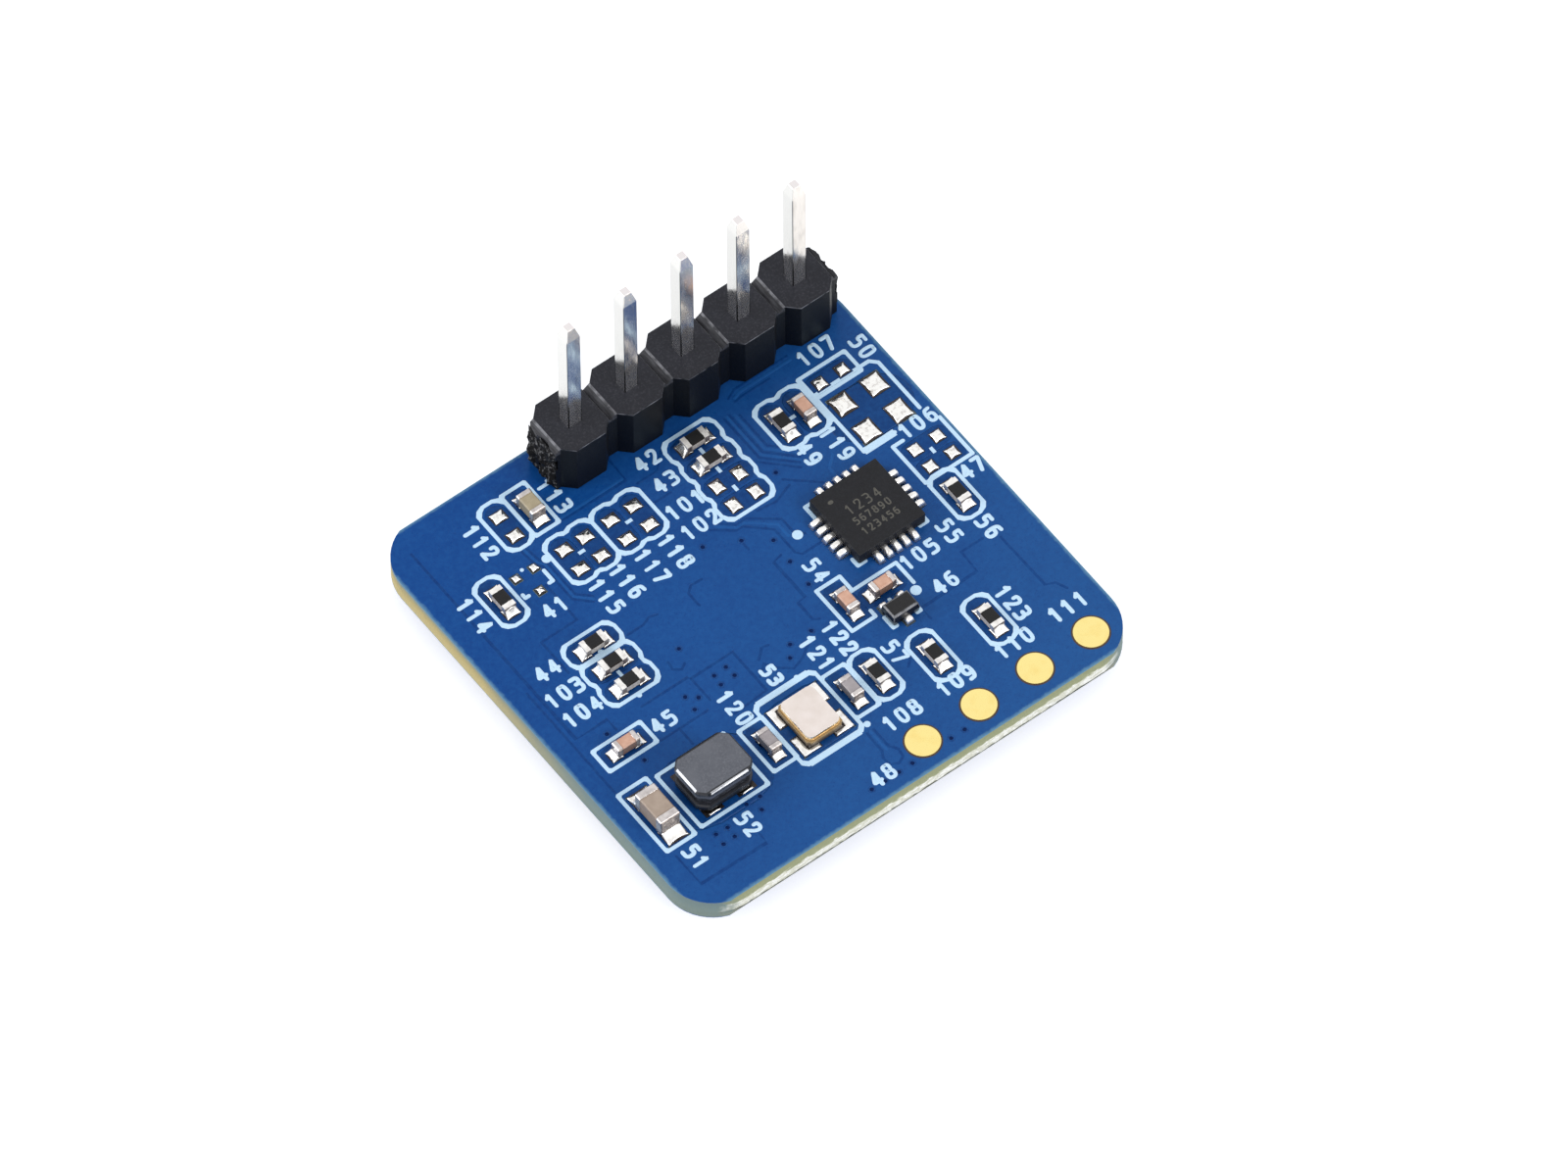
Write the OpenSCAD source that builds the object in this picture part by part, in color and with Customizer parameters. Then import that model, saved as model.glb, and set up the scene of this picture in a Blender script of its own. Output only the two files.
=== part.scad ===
// Radar sensor module: a small square circuit board that carries its parts and an upright
// five-pin header on one face, and a radar chip with patch aerials on the other.
// X runs along the header, Y points at the edge that carries it, and Z points up the pins.
// The origin is the middle of the board, level with the cut ends of the header's tails,
// which are the lowest points of the module.

/* [Board] */
// Side of the square board
board_w = 20; // [20:0.5:24]
// Thickness of the board, with the solder mask on both faces
board_t = 1; // [0.8:0.1:1.6]
// Radius of the board's corners
corner_r = 2; // [0.5:0.1:2.6]
// How far the two scored edges slope in at each face
score_inset = 0.12; // [0.05:0.01:0.2]
// Depth of the score line at each face
score_depth = 0.28; // [0.2:0.02:0.34]
// Thickness of the solder mask on each face
mask_t = 0.03; // [0.02:0.005:0.04]
// Height of the etched copper above the laminate
copper_t = 0.05; // [0.045:0.005:0.07]
// Bare gap between a land and the edge of its opening in the mask
mask_gap = 0.05; // [0.03:0.01:0.07]

/* [Header housing] */
// Distance between pins
header_pitch = 2.54; // [2.5:0.01:2.56]
// Distance from the board's edge to the row of pins
header_edge = 1.34; // [1.3:0.01:1.6]
// Distance from the board's side to the last pin
header_side_gap = 1.67; // [1.5:0.01:1.8]
// Height of the moulded housing
housing_h = 2.5; // [1.5:0.1:3]
// Depth of each eight-sided segment, across the row
housing_depth = 2.5; // [2.2:0.05:2.56]
// Length of the break-off neck between two segments
neck_l = 0.4; // [0.2:0.05:0.6]
// Cut at each upright corner of a segment
housing_cut = 0.42; // [0.3:0.02:0.6]
// Depth of the V groove across the top of each neck
groove_depth = 0.2; // [0.1:0.02:0.3]
// Roughness of the two snapped ends
snap_depth = 0.06; // [0.02:0.01:0.09]

/* [Header pins] */
// Side of the square pins
pin_w = 0.6; // [0.5:0.02:0.64]
// Length of pin that stands above the housing
pin_above = 6; // [3:0.5:9]
// Length of tail that reaches below the board
pin_tail = 1; // [0.9:0.05:1.8]
// Width of the flat end of a pin
pin_tip_w = 0.33; // [0.2:0.01:0.4]
// Length of a pin's tapered end
pin_tip_l = 0.5; // [0.2:0.05:0.8]
// Diameter of the drilled holes that the tails pass through
hole_d = 1; // [0.95:0.01:1.1]
// Thickness of the copper that lines those holes
plating_t = 0.03; // [0.02:0.005:0.04]
// Outer diameter of the copper ring round each hole
ring_d = 1.7; // [1.4:0.05:1.9]
// Height of the solder cone round each tail
cone_h = 0.6; // [0.3:0.05:0.8]

/* [Test pads] */
// Diameter of the round gold pads
test_pad_d = 1.32; // [0.8:0.02:1.6]
// Distance between those pads
test_pad_pitch = 2.54; // [2.5:0.01:2.56]
// Distance from the board's edge to the row of pads
test_pad_edge = 1.28; // [1.1:0.02:1.4]
// Distance from the board's side to the last pad
test_pad_side_gap = 1.48; // [1.4:0.02:1.6]

/* [Chip parts] */
// Length of the small chip resistors and capacitors
chip_l = 1; // [0.94:0.01:1.04]
// Width of the small chip parts
chip_w = 0.5; // [0.44:0.01:0.54]
// Length of the plated ends
chip_band = 0.21; // [0.15:0.01:0.26]
// The same on the large capacitor
large_chip_band = 0.32; // [0.26:0.01:0.4]
// Height of the resistors
resistor_h = 0.35; // [0.28:0.01:0.45]
// Thickness of a resistor's plating and of its black glaze
film_t = 0.025; // [0.015:0.005:0.035]
// Height of the small capacitors
capacitor_h = 0.5; // [0.4:0.02:0.6]
// Length, width and height of the middle capacitor
middle_capacitor = [1.05, 0.62, 0.6];
// Length, width and height of the large capacitor
large_capacitor = [1.6, 0.87, 0.85];
// How far a capacitor's plated ends stand out from its ceramic
band_rise = 0.015; // [0.01:0.005:0.025]
// Bevel along the edges of the capacitors
chip_bevel = 0.05; // [0.03:0.01:0.07]

/* [Lands and solder] */
// How far a land reaches in under a chip part from the chip's end
land_heel = 0.25; // [0.2:0.01:0.28]
// How far a land reaches out past the end of a small chip part
land_toe = 0.25; // [0.2:0.01:0.28]
// The same past the end of the large capacitor
large_land_toe = 0.48; // [0.4:0.02:0.5]
// Width of a resistor's lands
resistor_land_w = 0.61; // [0.55:0.01:0.64]
// Width of a small capacitor's lands
capacitor_land_w = 0.52; // [0.46:0.01:0.56]
// Thickness of the solder under a part
solder_t = 0.03; // [0.02:0.005:0.05]
// Height of the solder that stands on an empty land
mound_h = 0.07; // [0.04:0.01:0.1]
// Share of a plated end's height that its solder climbs
climb = 0.7; // [0.5:0.05:0.85]

/* [Microcontroller] */
// Side of the square body
mcu_w = 3; // [2.8:0.05:3.1]
// Height of the body
mcu_h = 0.55; // [0.4:0.05:0.9]
// Distance between leads
lead_pitch = 0.4; // [0.39:0.01:0.42]
// Width of a lead
lead_w = 0.2; // [0.16:0.01:0.22]
// Length of a lead under the body
lead_l = 0.4; // [0.3:0.02:0.5]
// Thickness of a lead
lead_t = 0.2; // [0.1:0.02:0.25]
// How far the leads' lands reach past the body
lead_toe = 0.43; // [0.3:0.01:0.45]

/* [Radar chip] */
// Side of the square body
radar_w = 4; // [3.8:0.05:4.2]
// Height of the body
radar_h = 0.8; // [0.6:0.05:0.85]

/* [Aerials] */
// Width of one patch
patch_w = 3.8; // [3:0.1:4]
// Height of one patch, which sets the frequency
patch_h = 3.1; // [2.8:0.05:3.4]
// Distance from the board's middle to the patches of each side
patch_x = 6.3; // [6:0.1:6.5]
// Clear space between the two patches of a side
patch_gap = 2.8; // [2:0.1:3]
// Width of the feed line between two patches
feed_w = 0.35; // [0.2:0.05:0.5]
// Width of the feed line from the radar chip
trunk_w = 0.25; // [0.24:0.01:0.3]

/* [Inductor] */
// Length of the inductor
inductor_l = 2.5; // [2.2:0.05:2.6]
// Width of the inductor
inductor_w = 2; // [1.8:0.05:2.1]
// Height of the inductor
inductor_h = 1.2; // [1:0.05:1.6]
// Thickness of the upper flange
upper_flange_t = 0.36; // [0.25:0.02:0.4]
// Thickness of the lower flange
lower_flange_t = 0.3; // [0.2:0.02:0.34]
// Cut at the corners of both flanges
flange_cut = 0.32; // [0.2:0.02:0.4]
// Bevel round the top of the upper flange
flange_bevel = 0.07; // [0.04:0.01:0.1]
// How far the resin stands back from the flanges
resin_inset = 0.13; // [0.08:0.01:0.2]
// Radius of the post under the winding
post_r = 0.45; // [0.35:0.02:0.5]
// Thickness of the winding round the post
coil_t = 0.25; // [0.15:0.01:0.28]
// Thickness of the end terminals
terminal_t = 0.08; // [0.05:0.01:0.12]
// Length of each terminal, along the inductor
terminal_l = 0.7; // [0.5:0.05:0.8]
// Length of each terminal's land
inductor_land_l = 0.8; // [0.7:0.05:0.9]

/* [Crystal] */
// Size of the ceramic base across the board
crystal_w = 1.6; // [1.5:0.02:1.7]
// Size of the ceramic base up the board
crystal_l = 2; // [1.9:0.02:2.1]
// Height of the ceramic base
crystal_base_h = 0.26; // [0.2:0.02:0.4]
// Height of the seal ring under the lid
crystal_ring_h = 0.07; // [0.04:0.01:0.1]
// Height of the metal lid
crystal_lid_h = 0.15; // [0.1:0.01:0.25]
// How far the ring and lid stand in from the base's edge
crystal_inset = 0.05; // [0.03:0.01:0.1]
// Size of each corner land across the board
crystal_land_w = 0.82; // [0.7:0.01:0.88]
// Size of each corner land up the board
crystal_land_l = 0.91; // [0.8:0.01:0.95]

/* [Transistor] */
// Length of the moulded body
transistor_l = 1.2; // [1.1:0.02:1.26]
// Width of the moulded body
transistor_w = 0.8; // [0.7:0.02:0.84]
// Height of the moulded body
transistor_h = 0.5; // [0.4:0.02:0.6]
// How far the leads stand out of the body
transistor_lead_out = 0.2; // [0.14:0.01:0.22]
// Width of a lead
transistor_lead_w = 0.24; // [0.18:0.01:0.28]
// Thickness of a lead
transistor_lead_t = 0.13; // [0.08:0.01:0.16]

/* [White print] */
// Width of the printed lines
line_w = 0.15; // [0.12:0.01:0.18]
// Thickness of the print
print_t = 0.015; // [0.01:0.0025:0.02]
// Space between a chip part's lands and its printed frame, beside them
frame_side_gap = 0.27; // [0.22:0.01:0.3]
// The same past the ends of the lands
frame_end_gap = 0.38; // [0.34:0.01:0.42]

/* [Hidden] */
$fn = 48;

// Heights, from the tails' ends up
z_board = pin_tail;
z_laminate_low = z_board + mask_t;
z_laminate_top = z_board + board_t - mask_t;
z_mask_top = z_board + board_t;
z_land = z_laminate_top + copper_t;
z_land_low = z_laminate_low - copper_t;
z_pin_top = z_land + housing_h + pin_above;

// Tools cut past a face by this much, so that no skin is left
over = 0.1;

// The header: five pins in a row beside the board's far edge
pin_count = 5;
header_y = board_w / 2 - header_edge;
function pin_x(i) = board_w / 2 - header_side_gap - (pin_count - i) * header_pitch;
segment_l = header_pitch - neck_l;

// The test pads: four in a row beside the near edge
test_pad_count = 4;
test_pad_y = -board_w / 2 + test_pad_edge;
function test_pad_x(i) = board_w / 2 - test_pad_side_gap - (test_pad_count - i) * test_pad_pitch;

// Each place on the board is [x, y, turn in degrees]. The places were measured on a board of
// DRAWN.x a side, whose housing stood DRAWN.y from the near edge. On another board they spread
// out or draw together with it.
DRAWN = [20, 17.41];
housing_face_y = header_y - housing_depth / 2;
SPREAD = [board_w / DRAWN.x, (housing_face_y + board_w / 2) / DRAWN.y];
function spread(p) = [p.x * SPREAD.x, (p.y + DRAWN.x / 2) * SPREAD.y - board_w / 2, p.z];

// The two parts at the header's end keep their place from its first pin
function beside_header(p) = [pin_x(1) + p.x, header_y + p.y, p.z];

RESISTORS = [for (p = [
    [-7.58, 5.14, 90],  // left edge
    [-6.08, 1.65, 0],  // three in a stack at the left
    [-6.02, 0.6, 0],
    [-6.02, -0.41, 0],
    [2.07, 6.42, 0],  // two below the header
    [2.07, 5.41, 0],
    [5.05, 5.09, 90],  // upper right
    [8.28, -1.14, 90],  // right edge
    [1.27, -5.53, 90],  // lower middle
    [3.41, -6.14, 90],  // two above the test pads
    [5.94, -6.14, 90]
]) spread(p)];
EMPTY_RESISTORS = concat([beside_header([-3.67, -1, 90])], [for (p = [
    [-4.46, 5.09, 90],
    [-3.52, 5.09, 90],
    [-2.36, 5.1, 90],
    [-1.34, 5.1, 90],
    [2.07, 4.41, 0],
    [2.07, 3.42, 0]
]) spread(p)]);
// The middle one, beside the header, then those that spread
CAPACITORS = concat([beside_header([-2.55, -0.97, 90])], [for (p = [
    [-8.58, -5.49, 90],  // the large one, at the lower left
    [-7.75, -2.5, 0],  // four orange ones
    [2.24, -2.47, 90],
    [3.67, -2.69, 0],
    [6.04, 5.09, 90],
    [-3.61, -5.53, 90],  // two grey ones, on each side of the crystal
    [0.1, -5.53, 90]
]) spread(p)]);
EMPTY_CAPACITORS = [for (p = [
    [7.73, 5.72, 0],
    [8.74, 1.33, 0],
    [8.74, 0.43, 0]
]) spread(p)];
MCU = spread([5.15, 0.14, 0]);
RADAR = [0, -0.5, 0];
INDUCTOR = spread([-6.1, -5.53, 0]);
CRYSTAL = spread([-1.77, -5.54, 0]);
EMPTY_CRYSTAL = spread([8.07, 3.77, 0]);
TRANSISTOR = spread([3.6, -3.86, 0]);
EMPTY_TRANSISTOR = spread([-6.18, 5.19, 0]);
mcu_leads_a_side = 5;
radar_leads_a_side = 7;

small_capacitor = [chip_l, chip_w, capacitor_h];
function capacitor_size(i) = i == 1 ? middle_capacitor : i == 2 ? large_capacitor : small_capacitor;
function capacitor_band(i) = i == 2 ? large_chip_band : chip_band;
function capacitor_toe(i) = i == 2 ? large_land_toe : land_toe;
function capacitor_land(i) = i > 2 ? capacitor_land_w : capacitor_size(i).y;

// Moves its children to a place on the component side, at height z
module at(place, z = 0) {
    translate([place.x, place.y, z]) rotate(place.z) children();
}

// Turns what is drawn upward from a land over, so that it hangs from the underside's copper
module hang_below() {
    translate([0, 0, z_land_low]) mirror([0, 0, 1]) children();
}

// Repeats its children at both ends of a part of length l
module both_ends(l) {
    translate([l / 2, 0, 0]) children();
    mirror([1, 0, 0]) translate([l / 2, 0, 0]) children();
}

// A flat plate standing on z = 0
module plate(l, w, t) {
    translate([-l / 2, -w / 2, 0]) cube([l, w, t]);
}

// Outline of a rectangle whose corners are cut by c
function cut_rectangle(l, w, c) = [
    [l / 2, -w / 2 + c], [l / 2, w / 2 - c], [l / 2 - c, w / 2], [-l / 2 + c, w / 2],
    [-l / 2, w / 2 - c], [-l / 2, -w / 2 + c], [-l / 2 + c, -w / 2], [l / 2 - c, -w / 2]
];

// A block whose twelve edges are bevelled by c, standing on z = 0
module bevelled_block(l, w, h, c) {
    translate([0, 0, h / 2]) intersection() {
        linear_extrude(h, center = true) polygon(cut_rectangle(l, w, c));
        rotate([90, 0, 0]) linear_extrude(w, center = true) polygon(cut_rectangle(l, h, c));
        rotate([0, 90, 0]) linear_extrude(l, center = true) polygon(cut_rectangle(h, w, c));
    }
}

// Outline with round corners
module round_rectangle(l, w, r) {
    square([l - 2 * r, w], center = true);
    square([l, w - 2 * r], center = true);
    for (x = [-1, 1], y = [-1, 1]) {
        translate([x * (l / 2 - r), y * (w / 2 - r)]) circle(r);
    }
}

// BOARD

module board_outline() {
    round_rectangle(board_w, board_w, corner_r);
}

module header_holes(d) {
    for (i = [1:pin_count]) {
        translate([pin_x(i), header_y]) circle(d = d);
    }
}

// The board was scored and snapped out of a strip along both edges that run with X
module score_lines() {
    half = board_w / 2;
    for (edge = [-1, 1], face = [-1, 1]) {
        translate([0, 0, z_board + board_t / 2]) scale([1, edge, face])
            rotate([90, 0, 90]) linear_extrude(board_w + 2 * over, center = true) polygon([
                [half - 1.5 * score_inset, board_t / 2 + score_depth / 2],
                [half + score_inset, board_t / 2 - 2 * score_depth],
                [half + 2 * score_inset, board_t / 2 + score_depth / 2]
            ]);
    }
}

module board_laminate() {
    color("darkkhaki") difference() {
        translate([0, 0, z_laminate_low])
            linear_extrude(z_laminate_top - z_laminate_low) difference() {
                board_outline();
                header_holes(hole_d);
            }
        score_lines();
    }
}

// Every opening in the mask is its land, grown by the bare gap
module top_openings() {
    header_holes(ring_d + 2 * mask_gap);
    test_pad_discs(test_pad_d + 2 * mask_gap);
    all_lands(mask_gap);
}

module solder_mask_top() {
    color("royalblue") difference() {
        translate([0, 0, z_laminate_top]) linear_extrude(mask_t) difference() {
            board_outline();
            top_openings();
        }
        score_lines();
    }
}

module solder_mask_underside() {
    color("royalblue") difference() {
        translate([0, 0, z_board]) linear_extrude(mask_t) difference() {
            board_outline();
            header_holes(ring_d + 2 * mask_gap);
            aerial_outline(mask_gap);
            at(RADAR) chip_lands(radar_w, radar_leads_a_side, mask_gap);
        }
        score_lines();
    }
}

// LANDS: outlines, grown by g on every side

module land(l, w, g) {
    square([l + 2 * g, w + 2 * g], center = true);
}

module two_lands(l, w, toe, g) {
    both_ends(l) translate([(toe - land_heel) / 2, 0]) land(toe + land_heel, w, g);
}

// The four rows of round-ended lands of a square chip, and the one under its middle
module chip_lands(side, count, g) {
    inner = side / 2 - lead_l;
    outer = side / 2 + lead_toe - lead_w / 2;
    for (turn = [0:90:270], i = [0:count - 1]) {
        rotate(turn) translate([0, (i - (count - 1) / 2) * lead_pitch]) {
            translate([inner, -lead_w / 2 - g]) square([outer - inner, lead_w + 2 * g]);
            translate([outer, 0]) circle(d = lead_w + 2 * g);
        }
    }
    land(ground_pad(side), ground_pad(side), g);
}

// The land under a chip's middle stays clear of the leads by this much
ground_pad_gap = 0.25;
function ground_pad(side) = side - 2 * (lead_l + ground_pad_gap);

// How far the inductor's lands and terminals lie in from its ends, and the lands past its sides
inductor_foot_in = 0.12;
inductor_land_out = 0.1;

module inductor_lands(g) {
    land_x = (inductor_l - inductor_land_l) / 2 - inductor_foot_in;
    for (x = [-1, 1]) {
        translate([x * land_x, 0]) land(inductor_land_l, inductor_w + 2 * inductor_land_out, g);
    }
}

// How far the middle of a crystal's land lies in from the corner of its base
crystal_land_in = [0.08, 0.28];
crystal_land_x = crystal_w / 2 - crystal_land_in.x;
crystal_land_y = crystal_l / 2 - crystal_land_in.y;

module crystal_lands(g) {
    for (x = [-1, 1], y = [-1, 1]) {
        translate([x * crystal_land_x, y * crystal_land_y]) land(crystal_land_w, crystal_land_l, g);
    }
}

// Two leads on the far side of a transistor and one on the near side
transistor_lead_x = transistor_l / 3;
TRANSISTOR_LEADS = [[-transistor_lead_x, 1], [transistor_lead_x, 1], [0, -1]];
transistor_land = 0.32;
transistor_land_out = 0.06;
transistor_land_y = transistor_w / 2 + transistor_land_out;

module transistor_lands(g) {
    for (lead = TRANSISTOR_LEADS) {
        translate([lead.x, lead.y * transistor_land_y]) land(transistor_land, transistor_land, g);
    }
}

module all_lands(g) {
    for (place = concat(RESISTORS, EMPTY_RESISTORS)) {
        at(place) two_lands(chip_l, resistor_land_w, land_toe, g);
    }
    for (i = [1:len(CAPACITORS)]) {
        at(CAPACITORS[i - 1])
            two_lands(capacitor_size(i).x, capacitor_land(i), capacitor_toe(i), g);
    }
    for (place = EMPTY_CAPACITORS) at(place) two_lands(chip_l, capacitor_land_w, land_toe, g);
    for (place = [CRYSTAL, EMPTY_CRYSTAL]) at(place) crystal_lands(g);
    for (place = [TRANSISTOR, EMPTY_TRANSISTOR]) at(place) transistor_lands(g);
    at(MCU) chip_lands(mcu_w, mcu_leads_a_side, g);
    at(INDUCTOR) inductor_lands(g);
}

module part_lands() {
    color("silver") translate([0, 0, z_laminate_top]) linear_extrude(copper_t) all_lands(0);
}

// Solder that melted on an empty land and stands on it as a low pillow, rounded in steps
module mound(l, w) {
    intersection() {
        mound_side(l, w);
        rotate(90) mound_side(w, l);
    }
}

mound_foot = 0.3;
module mound_side(l, depth) {
    rotate([90, 0, 0]) linear_extrude(depth, center = true) polygon([
        [-l / 2, 0], [l / 2, 0],
        for (a = [0:18:180])
            [l / 2 * cos(a), mound_h * (mound_foot + (1 - mound_foot) * sin(a))]
    ]);
}

module empty_land_solder() {
    land_l = land_heel + land_toe;
    color("gainsboro") translate([0, 0, z_land]) {
        for (place = EMPTY_RESISTORS) {
            at(place) both_ends(chip_l + land_toe - land_heel) mound(land_l, resistor_land_w);
        }
        for (place = EMPTY_CAPACITORS) {
            at(place) both_ends(chip_l + land_toe - land_heel) mound(land_l, capacitor_land_w);
        }
        at(EMPTY_CRYSTAL) for (x = [-1, 1], y = [-1, 1]) {
            translate([x * crystal_land_x, y * crystal_land_y, 0])
                mound(crystal_land_w, crystal_land_l);
        }
        at(EMPTY_TRANSISTOR) for (lead = TRANSISTOR_LEADS) {
            translate([lead.x, lead.y * transistor_land_y, 0])
                mound(transistor_land, transistor_land);
        }
    }
}

module test_pad_discs(d) {
    for (i = [1:test_pad_count]) {
        translate([test_pad_x(i), test_pad_y]) circle(d = d);
    }
}

module test_pads() {
    color("gold") translate([0, 0, z_laminate_top]) linear_extrude(copper_t)
        test_pad_discs(test_pad_d);
}

// WHITE PRINT: frames round the parts

// Outline of a resistor's frame, long way up, whose ends bow outwards: the sides are straight
// up to bow_start from the ends, the shoulders lie bow_shoulder in from the corner, and the
// middle of the end is flat over bow_flat of the width
bow_start = 0.3;
bow_shoulder = [0.15, 0.11];
bow_flat = 0.36;
function bowed_end(x, y) = [
    [x, y - bow_start], [x - bow_shoulder.x, y - bow_shoulder.y], [x * bow_flat, y],
    [-x * bow_flat, y], [-x + bow_shoulder.x, y - bow_shoulder.y], [-x, y - bow_start]
];
function bowed_outline(x, y) = concat(bowed_end(x, y), [for (p = bowed_end(x, y)) -p]);

// Half the width and half the length of one frame, to the middle of its line
resistor_frame = [resistor_land_w / 2 + frame_side_gap, chip_l / 2 + land_toe + frame_end_gap];
capacitor_frame_less = 0.06;
capacitor_frame = [
    capacitor_land_w / 2 + frame_side_gap, resistor_frame.y - capacitor_frame_less
];

// Cut at the corners of the straight frames
frame_cut = 0.07;

// One frame with its long way up, its line moved outwards by g
module resistor_outline(g) {
    polygon(bowed_outline(resistor_frame.x + g, resistor_frame.y + g));
}

module capacitor_outline(g) {
    polygon(cut_rectangle(2 * (capacitor_frame.x + g), 2 * (capacitor_frame.y + g), frame_cut));
}

module box_outline(x, y, cut, g) {
    polygon(cut_rectangle(2 * (x + g), 2 * (y + g), cut));
}

// Parts in a row share one frame, whose sides follow each of them. What would stand between
// two parts is cleared, over this width, and a small blot is printed there.
between_w = 0.5;
BLOT = [0.28, 0.14];
function halfway(a, b) = [(a.x + b.x) / 2, (a.y + b.y) / 2, a.z - 90];
module shared_frame(places) {
    half = line_w / 2;
    straight = resistor_frame.y - bow_shoulder.y - half;
    difference() {
        for (p = places) at([p.x, p.y, p.z - 90]) resistor_outline(half);
        for (p = places) at([p.x, p.y, p.z - 90]) resistor_outline(-half);
        for (i = [0:1:len(places) - 2]) {
            at(halfway(places[i], places[i + 1])) square([between_w, 2 * straight], center = true);
        }
    }
    for (i = [0:1:len(places) - 2]) at(halfway(places[i], places[i + 1])) square(BLOT, center = true);
}

module capacitor_box(place) {
    at([place.x, place.y, place.z - 90]) difference() {
        capacitor_outline(line_w / 2);
        capacitor_outline(-line_w / 2);
    }
}

module box_frame(place, x, y, cut = frame_cut) {
    at(place) difference() {
        box_outline(x, y, cut, line_w / 2);
        box_outline(x, y, cut, -line_w / 2);
    }
}

// A straight line with round ends
module line(a, b) {
    d = b - a;
    translate(a) rotate(atan2(d.y, d.x)) translate([0, -line_w / 2]) square([norm(d), line_w]);
    for (end = [a, b]) translate(end) circle(d = line_w);
}

module lines(points) {
    for (i = [0:len(points) - 2]) line(points[i], points[i + 1]);
}

// Corner marks round a square chip, without the one beside its first lead
mark_out = 0.08;
mark_arm = 0.34;

module chip_marks(side) {
    m = side / 2 + mark_out;
    for (turn = [90, 180, 270]) {
        rotate(turn) lines([[m - mark_arm, m], [m, m], [m, m - mark_arm]]);
    }
    lines([[-m, m - mark_arm], [-m, m - 2 * mark_arm]]);
}

// Corner marks along the near side of a transistor, one of them longer, and a dot behind it
transistor_mark_out = [0.02, 0.06];
short_arm = 0.16;
long_arm = 0.54;
dot_behind = 0.12;

module transistor_marks() {
    x = transistor_l / 2 + transistor_mark_out.x;
    y = transistor_w / 2 + transistor_mark_out.y;
    lines([[-x, -y + long_arm], [-x, -y], [-x + short_arm, -y]]);
    lines([[x, -y + short_arm], [x, -y], [x - short_arm, -y]]);
    translate([0, y + dot_behind]) circle(d = line_w);
}

// Space between the largest parts and the lines of their frames
large_frame_gap = 0.2;
inductor_frame_out = [0.26, 0.35];

// The whole print sits a little off the copper, as printed
PRINT_SHIFT = [0, 0.07];

module print_outline() {
    shared_frame([RESISTORS[0]]);
    shared_frame([EMPTY_RESISTORS[0]]);
    shared_frame([EMPTY_RESISTORS[1], EMPTY_RESISTORS[2]]);
    shared_frame([EMPTY_RESISTORS[3], EMPTY_RESISTORS[4]]);
    shared_frame([RESISTORS[1]]);
    shared_frame([RESISTORS[2], RESISTORS[3]]);
    shared_frame([RESISTORS[4], RESISTORS[5], EMPTY_RESISTORS[5], EMPTY_RESISTORS[6]]);
    shared_frame([RESISTORS[6], CAPACITORS[5]]);
    for (i = [7:10]) shared_frame([RESISTORS[i]]);
    for (i = [0, 2, 6, 7]) capacitor_box(CAPACITORS[i]);
    capacitor_box(EMPTY_CAPACITORS[0]);
    box_frame(CAPACITORS[1], large_capacitor.x / 2 + large_land_toe + large_frame_gap,
        large_capacitor.y / 2 + large_frame_gap);
    box_frame(INDUCTOR, inductor_l / 2 + inductor_frame_out.x, inductor_w / 2 + inductor_frame_out.y);
    crystal_frame();
    at(MCU) chip_marks(mcu_w);
    at(TRANSISTOR) transistor_marks();
    at(EMPTY_TRANSISTOR) mirror([1, 0]) transistor_marks();
    open_frames();
    thick_strokes();
    dots();
}

// The crystal's frame has cut corners and heavy lines across its ends
crystal_frame_x = crystal_w / 2 + 0.54;
crystal_frame_y = crystal_l / 2 + 0.57;
crystal_frame_cut = 0.2;
heavy_w = 0.25;

module crystal_frame() {
    box_frame(CRYSTAL, crystal_frame_x, crystal_frame_y, crystal_frame_cut);
    at(CRYSTAL) for (y = [-1, 1]) {
        translate([0, y * crystal_frame_y])
            square([2 * (crystal_frame_x - crystal_frame_cut), heavy_w], center = true);
    }
}

// Frames that the print leaves open: those of two orange capacitors above the transistor, of
// two empty places in a stack at the right edge, and of the empty crystal place above them
short_end = 0.3;
long_end = 0.75;
stack_start = 0.46;
corner_cut = 0.25;
foot_l = 1.4;
empty_frame_x = crystal_w / 2 + 0.58;
empty_frame_y = crystal_l / 2 + 0.51;

// The empty crystal place's frame sits this far off its lands
EMPTY_FRAME_SHIFT = [0.03, 0.07];
function shifted(place, by) = [place.x + by.x, place.y + by.y, place.z];
EMPTY_FRAME = shifted(EMPTY_CRYSTAL, EMPTY_FRAME_SHIFT);

module open_frames() {
    x = capacitor_frame.x;
    y = capacitor_frame.y;
    translate([CAPACITORS[3].x, CAPACITORS[3].y])
        lines([[x, -y + short_end], [x, -y], [-x, -y], [-x, y], [x, y], [x, y - long_end]]);
    translate([CAPACITORS[4].x, CAPACITORS[4].y]) lines([[-y, x], [y, x], [y, -x]]);
    stack = [EMPTY_CAPACITORS[1], EMPTY_CAPACITORS[2]];
    left = stack[0].x - y;
    right = stack[0].x + y;
    top = stack[0].y + x;
    foot = stack[1].y - x;
    lines([[left + stack_start, top], [left, top], [left, foot], [right, foot], [right, top]]);
    at(halfway(stack[0], stack[1])) square(BLOT, center = true);
    at(EMPTY_FRAME) lines([
        [empty_frame_x, -empty_frame_y + short_end], [empty_frame_x, empty_frame_y - corner_cut],
        [empty_frame_x - corner_cut, empty_frame_y], [-empty_frame_x, empty_frame_y],
        [-empty_frame_x, -empty_frame_y], [-empty_frame_x + foot_l, -empty_frame_y]
    ]);
}

// Two strokes that are twice as thick as the rest: the wall between an orange capacitor and
// the empty crystal place, and the foot of that place's frame
thick_w = 0.3;
wall_l = 2.1;

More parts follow.
